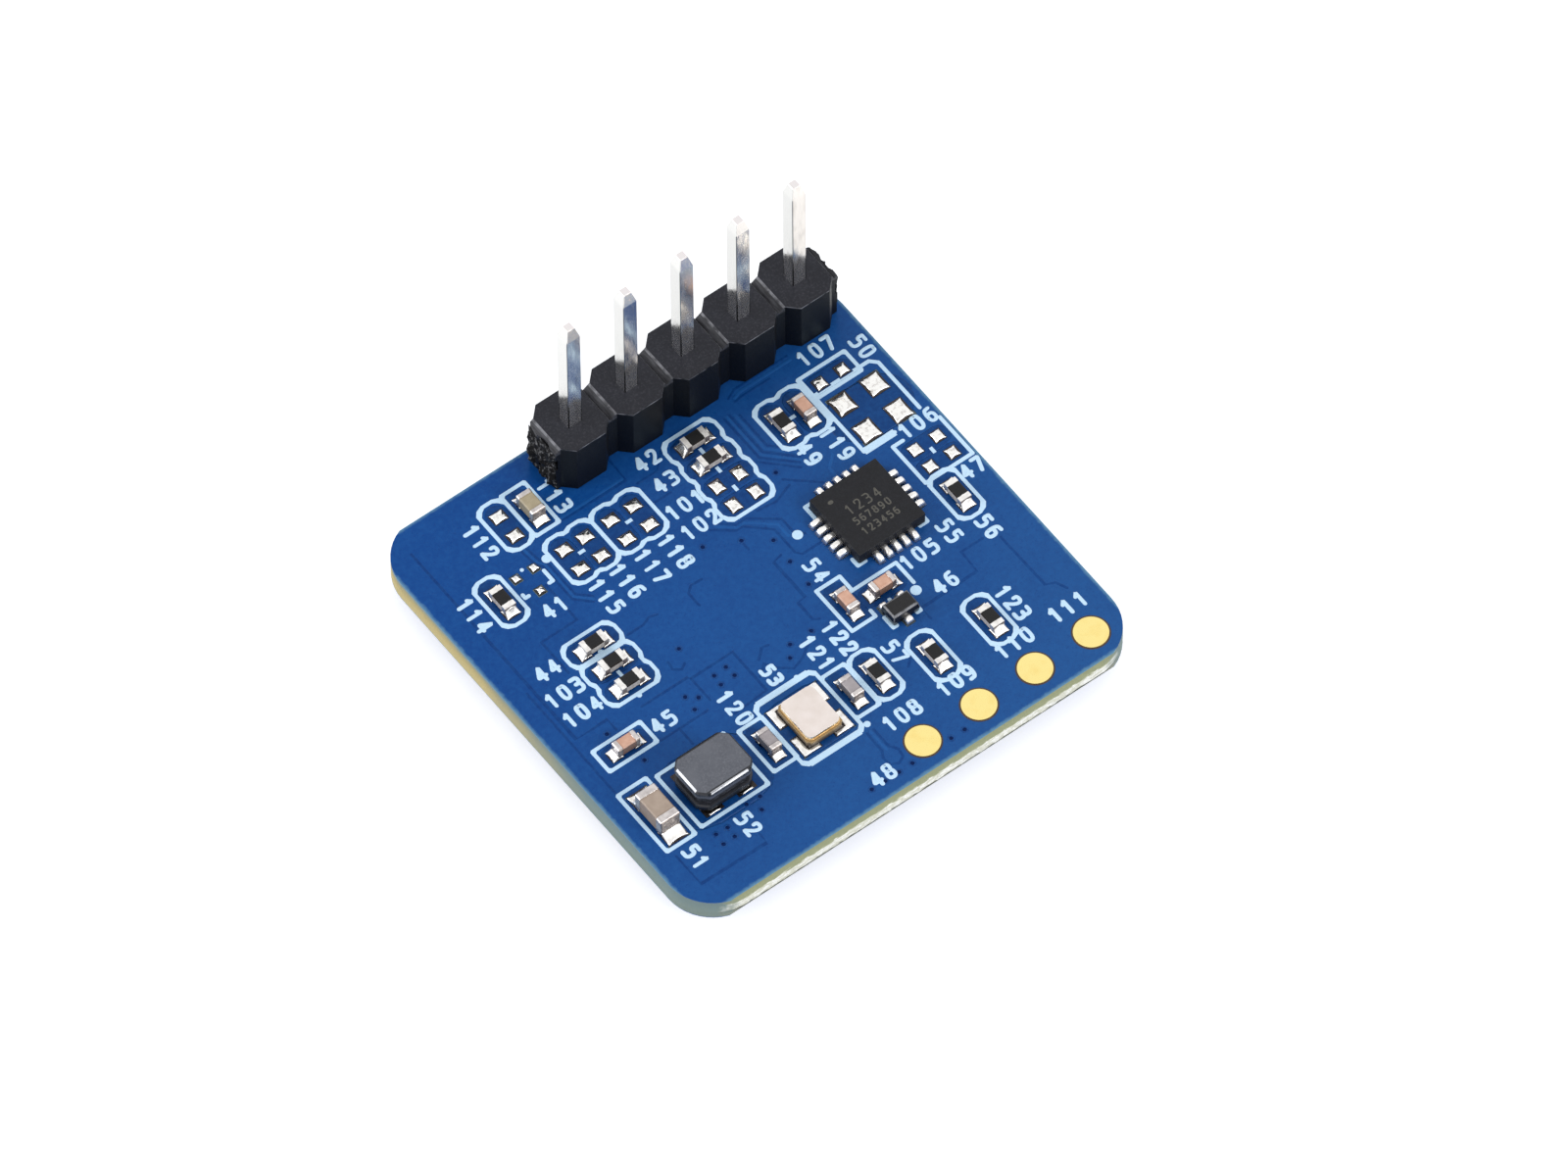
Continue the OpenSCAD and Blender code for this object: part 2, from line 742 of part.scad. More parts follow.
module thick_strokes() {
    wall_x = (CAPACITORS[5].x + capacitor_frame.x + EMPTY_FRAME.x - empty_frame_x) / 2;
    translate([wall_x, CAPACITORS[5].y]) square([thick_w, wall_l], center = true);
    at(EMPTY_FRAME) translate([-empty_frame_x + foot_l / 2, -empty_frame_y])
        square([foot_l, thick_w], center = true);
}

// Round marks beside first leads, and the blots where two frames touch: the part that each
// stands by, where from its middle, and its diameter
DOTS = [
    [MCU, [-mcu_w / 2 - 1.01, 2 * lead_pitch], 0.4],
    [EMPTY_RESISTORS[1], [-resistor_frame.x - 0.15, 0.53], 0.36],
    [CRYSTAL, [crystal_w / 2 + 0.71, -crystal_l / 2 - 0.47], 0.26],
    [CAPACITORS[4], [0.93, -0.85], 0.42],
    [CRYSTAL, [0.7, crystal_frame_y + 0.08], 0.2],
    [RESISTORS[2], [0, resistor_frame.x + 0.08], 0.2],
    [RESISTORS[3], [0, -resistor_frame.x - 0.08], 0.2]
];

module dots() {
    for (dot = DOTS) translate([dot[0].x + dot[1].x, dot[0].y + dot[1].y]) circle(d = dot[2]);
}

// Ink lies on the mask alone, so it stops at the openings
module printed_frames() {
    color("lightcyan") translate([0, 0, z_mask_top]) linear_extrude(print_t) difference() {
        translate(PRINT_SHIFT) print_outline();
        top_openings();
    }
}

// HEADER

// Copper that lines each hole, with a ring on both faces of the laminate
module header_barrels() {
    r_in = hole_d / 2 - plating_t;
    color("goldenrod") for (i = [1:pin_count]) {
        translate([pin_x(i), header_y, 0]) rotate_extrude() polygon([
            [r_in, z_land_low], [ring_d / 2, z_land_low],
            [ring_d / 2, z_laminate_low], [hole_d / 2, z_laminate_low],
            [hole_d / 2, z_laminate_top], [ring_d / 2, z_laminate_top],
            [ring_d / 2, z_land], [r_in, z_land]
        ]);
    }
}

// The ragged end of a neck, in layers that each break a little differently
snap_layers = 4;
snap_teeth = 6;
function tooth(layer, i) = snap_depth * sin(layer * 131 + i * 97);

module snapped_neck() {
    flat = housing_depth - 2 * housing_cut;
    layer_h = housing_h / snap_layers;
    for (layer = [0:snap_layers - 1]) {
        translate([0, 0, layer * layer_h]) linear_extrude(layer_h) polygon([
            [0, flat / 2], [0, -flat / 2],
            for (i = [0:snap_teeth])
                [neck_l / 2 + tooth(layer, i), flat * (i / snap_teeth - 0.5)]
        ]);
    }
}

// Cut along the top of each neck: steep on the first pin's side, and sloping on the other
module neck_grooves() {
    reach = neck_l / 2;
    bottom = -neck_l / 4;
    for (i = [0:pin_count]) {
        translate([pin_x(i) + header_pitch / 2, header_y, 0]) rotate([90, 0, 0])
            linear_extrude(housing_depth + 2 * over, center = true) polygon([
                [bottom, housing_h - groove_depth], [reach, housing_h],
                [reach, housing_h + over], [-reach, housing_h + over], [-reach, housing_h]
            ]);
    }
}

module header_housing() {
    row_l = (pin_count - 1) * header_pitch;
    flat = housing_depth - 2 * housing_cut;
    color("dimgray") translate([0, 0, z_land]) difference() {
        union() {
            for (i = [1:pin_count]) {
                translate([pin_x(i), header_y, 0]) linear_extrude(housing_h)
                    polygon(cut_rectangle(segment_l, housing_depth, housing_cut));
            }
            translate([pin_x(1), header_y - flat / 2, 0]) cube([row_l, flat, housing_h]);
            translate([pin_x(pin_count) + segment_l / 2, header_y, 0]) snapped_neck();
            translate([pin_x(1) - segment_l / 2, header_y, 0]) mirror([1, 0, 0]) snapped_neck();
        }
        neck_grooves();
        for (i = [1:pin_count]) {
            translate([pin_x(i), header_y, -over]) plate(pin_w, pin_w, housing_h + 2 * over);
        }
    }
}

// Side view of a pin: straight from its cut tail to the taper at its end
module pin_profile() {
    rotate([90, 0, 0]) linear_extrude(pin_w, center = true) polygon([
        [-pin_w / 2, 0], [pin_w / 2, 0], [pin_w / 2, z_pin_top - pin_tip_l],
        [pin_tip_w / 2, z_pin_top], [-pin_tip_w / 2, z_pin_top],
        [-pin_w / 2, z_pin_top - pin_tip_l]
    ]);
}

module header_pin(i) {
    color("silver") translate([pin_x(i), header_y, 0]) intersection() {
        pin_profile();
        rotate(90) pin_profile();
    }
}

module header_pin_1() { header_pin(1); }
module header_pin_2() { header_pin(2); }
module header_pin_3() { header_pin(3); }
module header_pin_4() { header_pin(4); }
module header_pin_5() { header_pin(5); }

// Solder fills each barrel round the pin and ends in a hollow-sided cone, whose foot stays this
// much inside the copper ring
cone_inset = 0.05;

module header_solder() {
    r_in = hole_d / 2 - plating_t;
    r_tip = pin_w * 0.75;
    r_foot = ring_d / 2 - cone_inset;
    cone = z_land_low - z_board + cone_h;
    color("gainsboro") for (i = [1:pin_count]) {
        translate([pin_x(i), header_y, 0]) difference() {
            rotate_extrude() polygon([
                [0, z_land - copper_t], [0, z_board - cone_h],
                for (a = [0:15:90])
                    [r_foot - (r_foot - r_tip) * cos(a), z_land_low - cone * (1 - sin(a))],
                [r_in, z_land_low], [r_in, z_land - copper_t]
            ]);
            plate(pin_w, pin_w, z_pin_top);
        }
    }
}

// SOLDER JOINTS

// Solder stops this much short of the end of its land, where it is this thick
toe_short = 0.03;
toe_t = 0.02;

// Solder from the heel of a joint, under the part, to its toe, with a hollow slope that
// climbs the part's end face, which stands at x = 0
module joint(w, heel, toe, rise) {
    reach = toe - toe_short;
    rotate([90, 0, 0]) linear_extrude(w, center = true) polygon([
        [-heel, 0], [-heel, solder_t], [0, solder_t],
        for (a = [0:15:90])
            [reach * (1 - cos(a)), toe_t + (solder_t + rise - toe_t) * (1 - sin(a))],
        [reach, 0]
    ]);
}

module chip_part_solder() {
    color("gainsboro") translate([0, 0, z_land]) {
        for (place = RESISTORS) {
            at(place) both_ends(chip_l) joint(chip_w, chip_band, land_toe, resistor_h * climb);
        }
        for (i = [1:len(CAPACITORS)]) {
            size = capacitor_size(i);
            at(CAPACITORS[i - 1]) both_ends(size.x)
                joint(min(size.y, capacitor_land(i)) - 2 * chip_bevel,
                    min(capacitor_band(i), land_heel), capacitor_toe(i), size.z * climb);
        }
    }
}

// CHIP RESISTORS: a ceramic chip, plated round its ends, with a black glaze on top

module end_plating() {
    // U-shaped plating: over the top, down the end and back under the chip
    rotate([90, 0, 0]) linear_extrude(chip_w, center = true) polygon([
        [-chip_band, 0], [0, 0], [0, resistor_h], [-chip_band, resistor_h],
        [-chip_band, resistor_h - film_t], [-film_t, resistor_h - film_t],
        [-film_t, film_t], [-chip_band, film_t]
    ]);
}

module resistor(i) {
    glaze_l = chip_l - 2 * chip_band;
    color("black") at(RESISTORS[i - 1], z_land + solder_t) {
        translate([0, 0, film_t]) plate(chip_l - 2 * film_t, chip_w, resistor_h - 2 * film_t);
        translate([0, 0, resistor_h - film_t]) plate(glaze_l, chip_w - 2 * film_t, film_t);
        both_ends(chip_l) end_plating();
    }
}

module resistor_1() { resistor(1); }
module resistor_2() { resistor(2); }
module resistor_3() { resistor(3); }
module resistor_4() { resistor(4); }
module resistor_5() { resistor(5); }
module resistor_6() { resistor(6); }
module resistor_7() { resistor(7); }
module resistor_8() { resistor(8); }
module resistor_9() { resistor(9); }
module resistor_10() { resistor(10); }
module resistor_11() { resistor(11); }

// CHIP CAPACITORS: a fired ceramic block with plated caps that stand a little proud of it

module capacitor(i) {
    size = capacitor_size(i);
    band = capacitor_band(i);
    color(i < 3 ? "tan" : i < 7 ? "peru" : "rosybrown") at(CAPACITORS[i - 1], z_land + solder_t) {
        translate([0, 0, band_rise])
            bevelled_block(size.x - band, size.y - 2 * band_rise, size.z - 2 * band_rise, chip_bevel);
        intersection() {
            bevelled_block(size.x, size.y, size.z, chip_bevel);
            both_ends(size.x) translate([-band / 2, 0, 0]) plate(band, size.y, size.z);
        }
    }
}

module capacitor_1() { capacitor(1); }
module capacitor_2() { capacitor(2); }
module capacitor_3() { capacitor(3); }
module capacitor_4() { capacitor(4); }
module capacitor_5() { capacitor(5); }
module capacitor_6() { capacitor(6); }
module capacitor_7() { capacitor(7); }
module capacitor_8() { capacitor(8); }

// SQUARE CHIPS: a moulded body with flat leads let into its lower edges

module chip_leads(side, count) {
    for (turn = [0:90:270], i = [0:count - 1]) {
        rotate(turn) translate([side / 2 - lead_l / 2, (i - (count - 1) / 2) * lead_pitch, 0])
            plate(lead_l, lead_w, lead_t);
    }
    plate(ground_pad(side), ground_pad(side), lead_t);
}

module chip_body(side, h, count) {
    difference() {
        plate(side, side, h);
        chip_leads(side, count);
    }
}

// Share of a lead's thickness that its solder climbs
lead_climb = 0.9;

module chip_joints(side, count) {
    for (turn = [0:90:270], i = [0:count - 1]) {
        rotate(turn) translate([side / 2, (i - (count - 1) / 2) * lead_pitch, 0])
            joint(lead_w, lead_l, lead_toe, lead_t * lead_climb);
    }
    plate(ground_pad(side), ground_pad(side), solder_t);
}

module mcu_body() {
    color("darkslategray") at(MCU, z_land + solder_t) chip_body(mcu_w, mcu_h, mcu_leads_a_side);
}

module mcu_leads() {
    color("silver") at(MCU, z_land + solder_t) chip_leads(mcu_w, mcu_leads_a_side);
}

module mcu_solder() {
    color("gainsboro") at(MCU, z_land) chip_joints(mcu_w, mcu_leads_a_side);
}

module radar_chip_body() {
    color("darkslategray") hang_below() at(RADAR, solder_t)
        chip_body(radar_w, radar_h, radar_leads_a_side);
}

module radar_chip_leads() {
    color("silver") hang_below() at(RADAR, solder_t) chip_leads(radar_w, radar_leads_a_side);
}

module radar_chip_solder() {
    color("gainsboro") hang_below() at(RADAR) chip_joints(radar_w, radar_leads_a_side);
}

// AERIALS: two patches on each side of the radar chip, fed from its leads

// How far the feed lines run into the lands and the patches
feed_overlap = 0.1;

module aerial_outline(g) {
    feed_start = radar_w / 2 + lead_toe - feed_overlap;
    patch_y = (patch_gap + patch_h) / 2;
    for (side = [-1, 1]) {
        translate([0, RADAR.y]) {
            for (y = [-1, 1]) translate([side * patch_x, y * patch_y]) land(patch_w, patch_h, g);
            translate([side * patch_x, 0]) land(feed_w, patch_gap + 2 * feed_overlap, g);
            translate([side * (feed_start + patch_x) / 2, 0]) land(patch_x - feed_start, trunk_w, g);
        }
    }
}

module aerial_copper() {
    color("gold") translate([0, 0, z_land_low]) linear_extrude(copper_t) {
        aerial_outline(0);
        at(RADAR) chip_lands(radar_w, radar_leads_a_side, 0);
    }
}

// INDUCTOR: a ferrite drum, wound and sealed, on two terminals

// A flange whose corners are cut, and whose top is bevelled by bevel
module flange(t, bevel) {
    intersection() {
        linear_extrude(t) polygon(cut_rectangle(inductor_l, inductor_w, flange_cut));
        flange_side(inductor_l, t, bevel, inductor_w);
        rotate(90) flange_side(inductor_w, t, bevel, inductor_l);
    }
}

module flange_side(l, t, bevel, depth) {
    rotate([90, 0, 0]) linear_extrude(depth, center = true) polygon([
        [-l / 2, 0], [l / 2, 0], [l / 2, t - bevel], [l / 2 - bevel, t],
        [-l / 2 + bevel, t], [-l / 2, t - bevel]
    ]);
}

waist_h = inductor_h - terminal_t - lower_flange_t - upper_flange_t;
z_waist = terminal_t + lower_flange_t;

module inductor_core() {
    color("dimgray") at(INDUCTOR, z_land + solder_t) {
        translate([0, 0, terminal_t]) flange(lower_flange_t, 0);
        translate([0, 0, z_waist]) cylinder(r = post_r, h = waist_h);
        translate([0, 0, z_waist + waist_h]) flange(upper_flange_t, flange_bevel);
    }
}

module inductor_winding() {
    color("chocolate") at(INDUCTOR, z_land + solder_t + z_waist) difference() {
        cylinder(r = post_r + coil_t, h = waist_h);
        translate([0, 0, -over]) cylinder(r = post_r, h = waist_h + 2 * over);
    }
}

module inductor_resin() {
    l = inductor_l - 2 * resin_inset;
    w = inductor_w - 2 * resin_inset;
    color("darkslategray") at(INDUCTOR, z_land + solder_t + z_waist) difference() {
        linear_extrude(waist_h) polygon(cut_rectangle(l, w, flange_cut));
        translate([0, 0, -over]) cylinder(r = post_r + coil_t, h = waist_h + 2 * over);
    }
}

// The two feet of the inductor, or the solder under them, t thick
module inductor_feet(t) {
    foot_x = (inductor_l - terminal_l) / 2 - inductor_foot_in;
    for (x = [-1, 1]) {
        translate([x * foot_x, 0, 0]) plate(terminal_l, inductor_w - 2 * flange_cut, t);
    }
}

module inductor_terminals() {
    color("silver") at(INDUCTOR, z_land + solder_t) inductor_feet(terminal_t);
}

// CRYSTAL: a ceramic tray with a notch at each corner, a seal ring and a metal lid

notch_r = 0.12;
cover_r = 0.24;
lid_inset = 0.02;

module crystal_base() {
    color("dimgray") at(CRYSTAL, z_land + solder_t) linear_extrude(crystal_base_h) difference() {
        square([crystal_w, crystal_l], center = true);
        for (x = [-1, 1], y = [-1, 1]) {
            translate([x * crystal_w / 2, y * crystal_l / 2]) circle(notch_r);
        }
    }
}

module crystal_cover(inset, h) {
    linear_extrude(h)
        round_rectangle(crystal_w - 2 * inset, crystal_l - 2 * inset, cover_r);
}

module crystal_seal_ring() {
    color("goldenrod") at(CRYSTAL, z_land + solder_t + crystal_base_h)
        crystal_cover(crystal_inset, crystal_ring_h);
}

module crystal_lid() {
    color("antiquewhite") at(CRYSTAL, z_land + solder_t + crystal_base_h + crystal_ring_h)
        crystal_cover(crystal_inset + lid_inset, crystal_lid_h);
}

// TRANSISTOR: a tapered body with three flat leads

// Side view of the body: widest at its waist, drawn in a little at its foot and at its
// shoulders, and bevelled round its top
waist_share = 0.45;
foot_inset = 0.03;
shoulder_inset = 0.04;
top_inset = 0.1;
top_bevel = 0.06;

module body_side(l, depth) {
    shoulder_z = transistor_h - top_bevel;
    rotate([90, 0, 0]) linear_extrude(depth, center = true) polygon([
        [-l / 2 + foot_inset, 0], [l / 2 - foot_inset, 0], [l / 2, transistor_h * waist_share],
        [l / 2 - shoulder_inset, shoulder_z], [l / 2 - top_inset, transistor_h],
        [-l / 2 + top_inset, transistor_h], [-l / 2 + shoulder_inset, shoulder_z],
        [-l / 2, transistor_h * waist_share]
    ]);
}

module transistor_body() {
    color("black") at(TRANSISTOR, z_land + solder_t) difference() {
        intersection() {
            body_side(transistor_l, transistor_w);
            rotate(90) body_side(transistor_w, transistor_l);
        }
        lead_bars();
    }
}

// Length of each lead inside the body
lead_inside = 0.2;

module lead_bars() {
    lead_y = transistor_w / 2 + (transistor_lead_out - lead_inside) / 2;
    for (lead = TRANSISTOR_LEADS) {
        translate([lead.x, lead.y * lead_y, 0])
            plate(transistor_lead_w, transistor_lead_out + lead_inside, transistor_lead_t);
    }
}

module transistor_leads() {
    color("silver") at(TRANSISTOR, z_land + solder_t) lead_bars();
}

// Solder of the inductor, the crystal and the transistor. The crystal's lies inside its corners.
crystal_solder = [0.5, 0.6];
crystal_solder_in = [0.3, 0.35];

module large_part_solder() {
    crystal_x = crystal_w / 2 - crystal_solder_in.x;
    crystal_y = crystal_l / 2 - crystal_solder_in.y;
    color("gainsboro") {
        at(INDUCTOR, z_land) inductor_feet(solder_t);
        at(CRYSTAL, z_land) for (x = [-1, 1], y = [-1, 1]) {
            translate([x * crystal_x, y * crystal_y, 0])
                plate(crystal_solder.x, crystal_solder.y, solder_t);
        }
        at(TRANSISTOR, z_land) for (lead = TRANSISTOR_LEADS) {
            translate([lead.x, lead.y * (transistor_w / 2 + transistor_lead_out / 2), 0])
                plate(transistor_lead_w, transistor_lead_out, solder_t);
        }
    }
}

board_laminate();
solder_mask_top();
solder_mask_underside();
printed_frames();
part_lands();
empty_land_solder();
test_pads();
header_barrels();
header_housing();
header_pin_1();
header_pin_2();
header_pin_3();
header_pin_4();
header_pin_5();
header_solder();
mcu_body();
mcu_leads();
mcu_solder();
aerial_copper();
radar_chip_body();
radar_chip_leads();
radar_chip_solder();
inductor_core();
inductor_winding();
inductor_resin();
inductor_terminals();
crystal_base();
crystal_seal_ring();
crystal_lid();
transistor_body();
transistor_leads();
large_part_solder();
chip_part_solder();
resistor_1();
resistor_2();
resistor_3();
resistor_4();
resistor_5();
resistor_6();
resistor_7();
resistor_8();
resistor_9();
resistor_10();
resistor_11();
capacitor_1();
capacitor_2();
capacitor_3();
capacitor_4();
capacitor_5();
capacitor_6();
capacitor_7();
capacitor_8();
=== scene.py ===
import math
import random
from functools import partialmethod

import bpy
from mathutils import Matrix, Vector, noise


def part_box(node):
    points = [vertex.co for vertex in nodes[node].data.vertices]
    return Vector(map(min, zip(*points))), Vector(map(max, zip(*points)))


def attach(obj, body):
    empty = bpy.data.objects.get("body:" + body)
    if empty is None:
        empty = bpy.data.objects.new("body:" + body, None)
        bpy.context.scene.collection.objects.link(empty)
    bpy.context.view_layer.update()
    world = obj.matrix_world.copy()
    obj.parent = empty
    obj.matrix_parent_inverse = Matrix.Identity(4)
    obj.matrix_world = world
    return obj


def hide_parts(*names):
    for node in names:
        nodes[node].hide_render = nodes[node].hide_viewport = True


MM = 0.001
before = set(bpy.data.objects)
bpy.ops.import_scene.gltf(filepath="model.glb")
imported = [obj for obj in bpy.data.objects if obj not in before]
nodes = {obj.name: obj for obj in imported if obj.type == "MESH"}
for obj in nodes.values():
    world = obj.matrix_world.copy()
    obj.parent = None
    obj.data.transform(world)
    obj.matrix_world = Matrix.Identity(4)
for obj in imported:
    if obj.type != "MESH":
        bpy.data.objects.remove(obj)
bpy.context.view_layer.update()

# Heights and places of the CAD part, in millimetres
BOARD_HALF = 10.0
BOARD_LOW = 1.0
BOARD_TOP = 2.0
LAND_TOP = 2.02
NUMBER_T = 0.018
SOLDER_T = 0.03
HEADER_Y = 8.66
HEADER_X = -1.83
HEADER_PITCH = 2.54
PIN_COUNT = 5
SEGMENT_L = 2.14
HOUSING_H = 2.5
HOUSING_TOP = LAND_TOP + HOUSING_H
CHIP_L = 1.0
CHIP_BAND = 0.21
LAND_HEEL = 0.25
LAND_TOE = 0.25
RESISTOR_LAND_W = 0.61
CAPACITOR_LAND_W = 0.52

PINS = [f"header_pin_{i}" for i in range(1, PIN_COUNT + 1)]
RESISTORS = [f"resistor_{i}" for i in range(1, 12)]
CAPACITORS = [f"capacitor_{i}" for i in range(1, 9)]


def linear(r, g, b):
    """An sRGB colour, 0 to 255, as the linear colour that the shaders take."""
    out = []
    for c in (r / 255, g / 255, b / 255):
        out.append(c / 12.92 if c <= 0.04045 else ((c + 0.055) / 1.055) ** 2.4)
    return (*out, 1.0)


def box_mm(node):
    """The low and high corners of a CAD node, in millimetres."""
    low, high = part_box(node)
    return low / MM, high / MM


def chip_span(node):
    """A chip part's middle, its size along, across and up, and whether it lies along Y."""
    low, high = box_mm(node)
    size = high - low
    turned = size.y > size.x
    return (low + high) / 2, (size.yxz if turned else size), turned


def feed(tree, socket, value):
    """Gives a node's input a constant or another node's output."""
    if isinstance(value, bpy.types.NodeSocket):
        tree.links.new(value, socket)
    else:
        socket.default_value = value


def add_node(tree, kind, **inputs):
    """A new shader node, with constants or outputs for its inputs."""
    node = tree.nodes.new("ShaderNode" + kind)
    for name, value in inputs.items():
        feed(tree, node.inputs[name.replace("_", " ")], value)
    return node


def add_math(tree, operation, a, b):
    node = add_node(tree, "Math")
    node.operation = operation
    feed(tree, node.inputs[0], a)
    feed(tree, node.inputs[1], b)
    return node.outputs[0]


# Between these two values lies nearly all of a noise
NOISE_LOW, NOISE_HIGH = 0.3, 0.7
# The sockets of a Mix node that take and give colours
MIX_A, MIX_B, MIX_OUT = 6, 7, 2


class Look:
    """A material built from nodes. Textures are laid out in object space, sizes in millimetres."""

    def __init__(self, name, colour, metallic=0.0, roughness=0.5, specular=0.5):
        self.material = bpy.data.materials.new(name)
        self.material.use_nodes = True
        self.tree = self.material.node_tree
        self.bsdf = self.tree.nodes["Principled BSDF"]
        self.set("Base Color", linear(*colour))
        self.set("Metallic", metallic)
        self.set("Roughness", roughness)
        self.set("Specular IOR Level", specular)
        self.place = self.new("TexCoord").outputs["Object"]

    def set(self, socket, value):
        self.bsdf.inputs[socket].default_value = value

    def link(self, value, socket):
        """Joins an output to one of the shader's sockets."""
        self.tree.links.new(value, self.bsdf.inputs[socket])

    def paint(self, colour):
        self.link(colour, "Base Color")

    def new(self, kind, **inputs):
        return add_node(self.tree, kind, **inputs)

    def noise(self, size, detail, stretch=(1, 1, 1)):
        """Cloudy noise whose features are about size millimetres across."""
        scaled = self.new("Mapping", Scale=[s / (size * MM) for s in stretch], Vector=self.place)
        node = self.new("TexNoise", Scale=1.0, Detail=detail, Vector=scaled.outputs["Vector"])
        return node.outputs["Fac"]

    def math(self, operation, a, b):
        return add_math(self.tree, operation, a, b)

    plus = partialmethod(math, "ADD")
    minus = partialmethod(math, "SUBTRACT")
    times = partialmethod(math, "MULTIPLY")
    larger = partialmethod(math, "MAXIMUM")
    # 1 where a value is above or below a limit, otherwise 0
    above = partialmethod(math, "GREATER_THAN")
    below = partialmethod(math, "LESS_THAN")

    def between(self, value, low, high):
        return self.times(self.above(value, low), self.below(value, high))

    def off(self, value, centre=0.0):
        """How far the value is from the centre, either way."""
        return self.math("ABSOLUTE", self.minus(value, centre), 0.0)

    def axis(self, name):
        """One coordinate of the place on the object, in millimetres."""
        return self.math("DIVIDE", self.new("SeparateXYZ", Vector=self.place).outputs[name], MM)

    def facing(self, name):
        """One component of the object's surface direction. On Z, 1 is a level top and 0 a side."""
        normal = self.new("TexCoord").outputs["Normal"]
        return self.new("SeparateXYZ", Vector=normal).outputs[name]

    def spread(self, value, low, high, to_low=0.0, to_high=1.0):
        """Maps low..high to to_low..to_high, and holds it there outside."""
        node = self.new("MapRange", Value=value, From_Min=low, From_Max=high, To_Min=to_low, To_Max=to_high)
        return node.outputs["Result"]

    def clouds(self, size, detail, low, high, to_low=0.0, to_high=1.0, stretch=(1, 1, 1)):
        """Noise of the given size, spread from low..high to to_low..to_high."""
        return self.spread(self.noise(size, detail, stretch), low, high, to_low, to_high)

    def wavy(self, value, size, reach, detail=3.0, stretch=(1, 1, 1)):
        """The value, moved by noise by up to reach either way."""
        return self.plus(value, self.clouds(size, detail, NOISE_LOW, NOISE_HIGH, -reach, reach, stretch))

    def gloss(self, size, detail, smooth, rough, stretch=(1, 1, 1)):
        """Uneven gloss: the roughness wanders from smooth to rough."""
        self.link(self.clouds(size, detail, NOISE_LOW, NOISE_HIGH, smooth, rough, stretch), "Roughness")

    def mix(self, share, a, b):
        """Mixes two colours. Each is an sRGB triple or a node's output."""
        node = self.new("Mix")
        node.data_type = "RGBA"
        feed(self.tree, node.inputs[0], share)
        for index, value in ((MIX_A, a), (MIX_B, b)):
            feed(self.tree, node.inputs[index], linear(*value) if isinstance(value, tuple) else value)
        return node.outputs[MIX_OUT]

    def clouded(self, colour, other, size, detail, low, high, share=1.0, stretch=(1, 1, 1)):
        """A colour with clouds of another in it, up to the given share."""
        return self.mix(self.clouds(size, detail, low, high, 0.0, share, stretch), colour, other)

    def bands(self, value, stops):
        """A colour ramp over value. Stops are (position, sRGB triple)."""
        node = self.new("ValToRGB", Fac=value)
        ramp = node.color_ramp
        while len(ramp.elements) < len(stops):
            ramp.elements.new(0.5)
        for element, (position, colour) in zip(ramp.elements, stops):
            element.position = position
            element.color = linear(*colour)
        return node.outputs["Color"]

    def bump(self, size, detail, depth, strength=1.0, stretch=(1, 1, 1)):
        """Surface relief from noise of the given size, depth millimetres deep."""
        height = self.noise(size, detail, stretch)
        node = self.new("Bump", Distance=depth * MM, Strength=strength, Height=height)
        self.tree.links.new(node.outputs["Normal"], self.bsdf.inputs["Normal"])


# MATERIALS

def metal_look(name, colour, dark, roughness, ripple=0.25, streak=(1, 1, 1), share=0.35, relief=0.006,
               metallic=1.0):
    """Plated or tinned metal: cloudy tone, uneven gloss and a fine ripple. A dull film over it
    makes it a little less than fully metallic."""
    look = Look(name, colour, metallic, roughness)
    look.paint(look.clouded(colour, dark, ripple, 4, 0.5, 0.5 + share, stretch=streak))
    look.gloss(ripple * 0.6, 2, roughness * 0.7, roughness * 1.4, streak)
    look.bump(ripple, 3, relief, stretch=streak)
    return look


def mask_look(name, near, far):
    """Solder mask: deep blue, with a fine grain and a pale rim of wear along the board's edges. Its
    tone across the board is painted light and shade: a little lighter toward the near corner, darker toward
    the header."""
    look = Look(name, near, roughness=0.3, specular=0.15)
    # Painted light and shade: the tone runs from darker toward -X and the header to lighter toward +X and -Y
    along = look.minus(look.axis("X"), look.axis("Y"))
    tone = look.mix(look.spread(along, -14.0, 18.0), near, far)
    tone = look.clouded(tone, (4, 54, 120), 4.5, 2, 0.35, 0.75, 0.35)
    tone = look.clouded(tone, (34, 98, 166), 0.16, 2, 0.35, 0.8, 0.3)
    tone = look.clouded(tone, (4, 46, 112), 0.07, 2, 0.58, 0.75, 0.4)
    _, high = box_mm("solder_mask_top")
    rim = look.larger(*(look.minus(look.off(look.axis(axis)), edge) for axis, edge in zip("XY", high)))
    wear_and_highlight = look.spread(look.wavy(rim, 0.25, 0.03), -0.14, -0.03, 0.0, 0.6)
    look.paint(look.mix(wear_and_highlight, tone, (112, 158, 182)))
    look.gloss(0.6, 3, 0.26, 0.36)
    look.bump(0.2, 2, 0.004, 0.35)
    return look


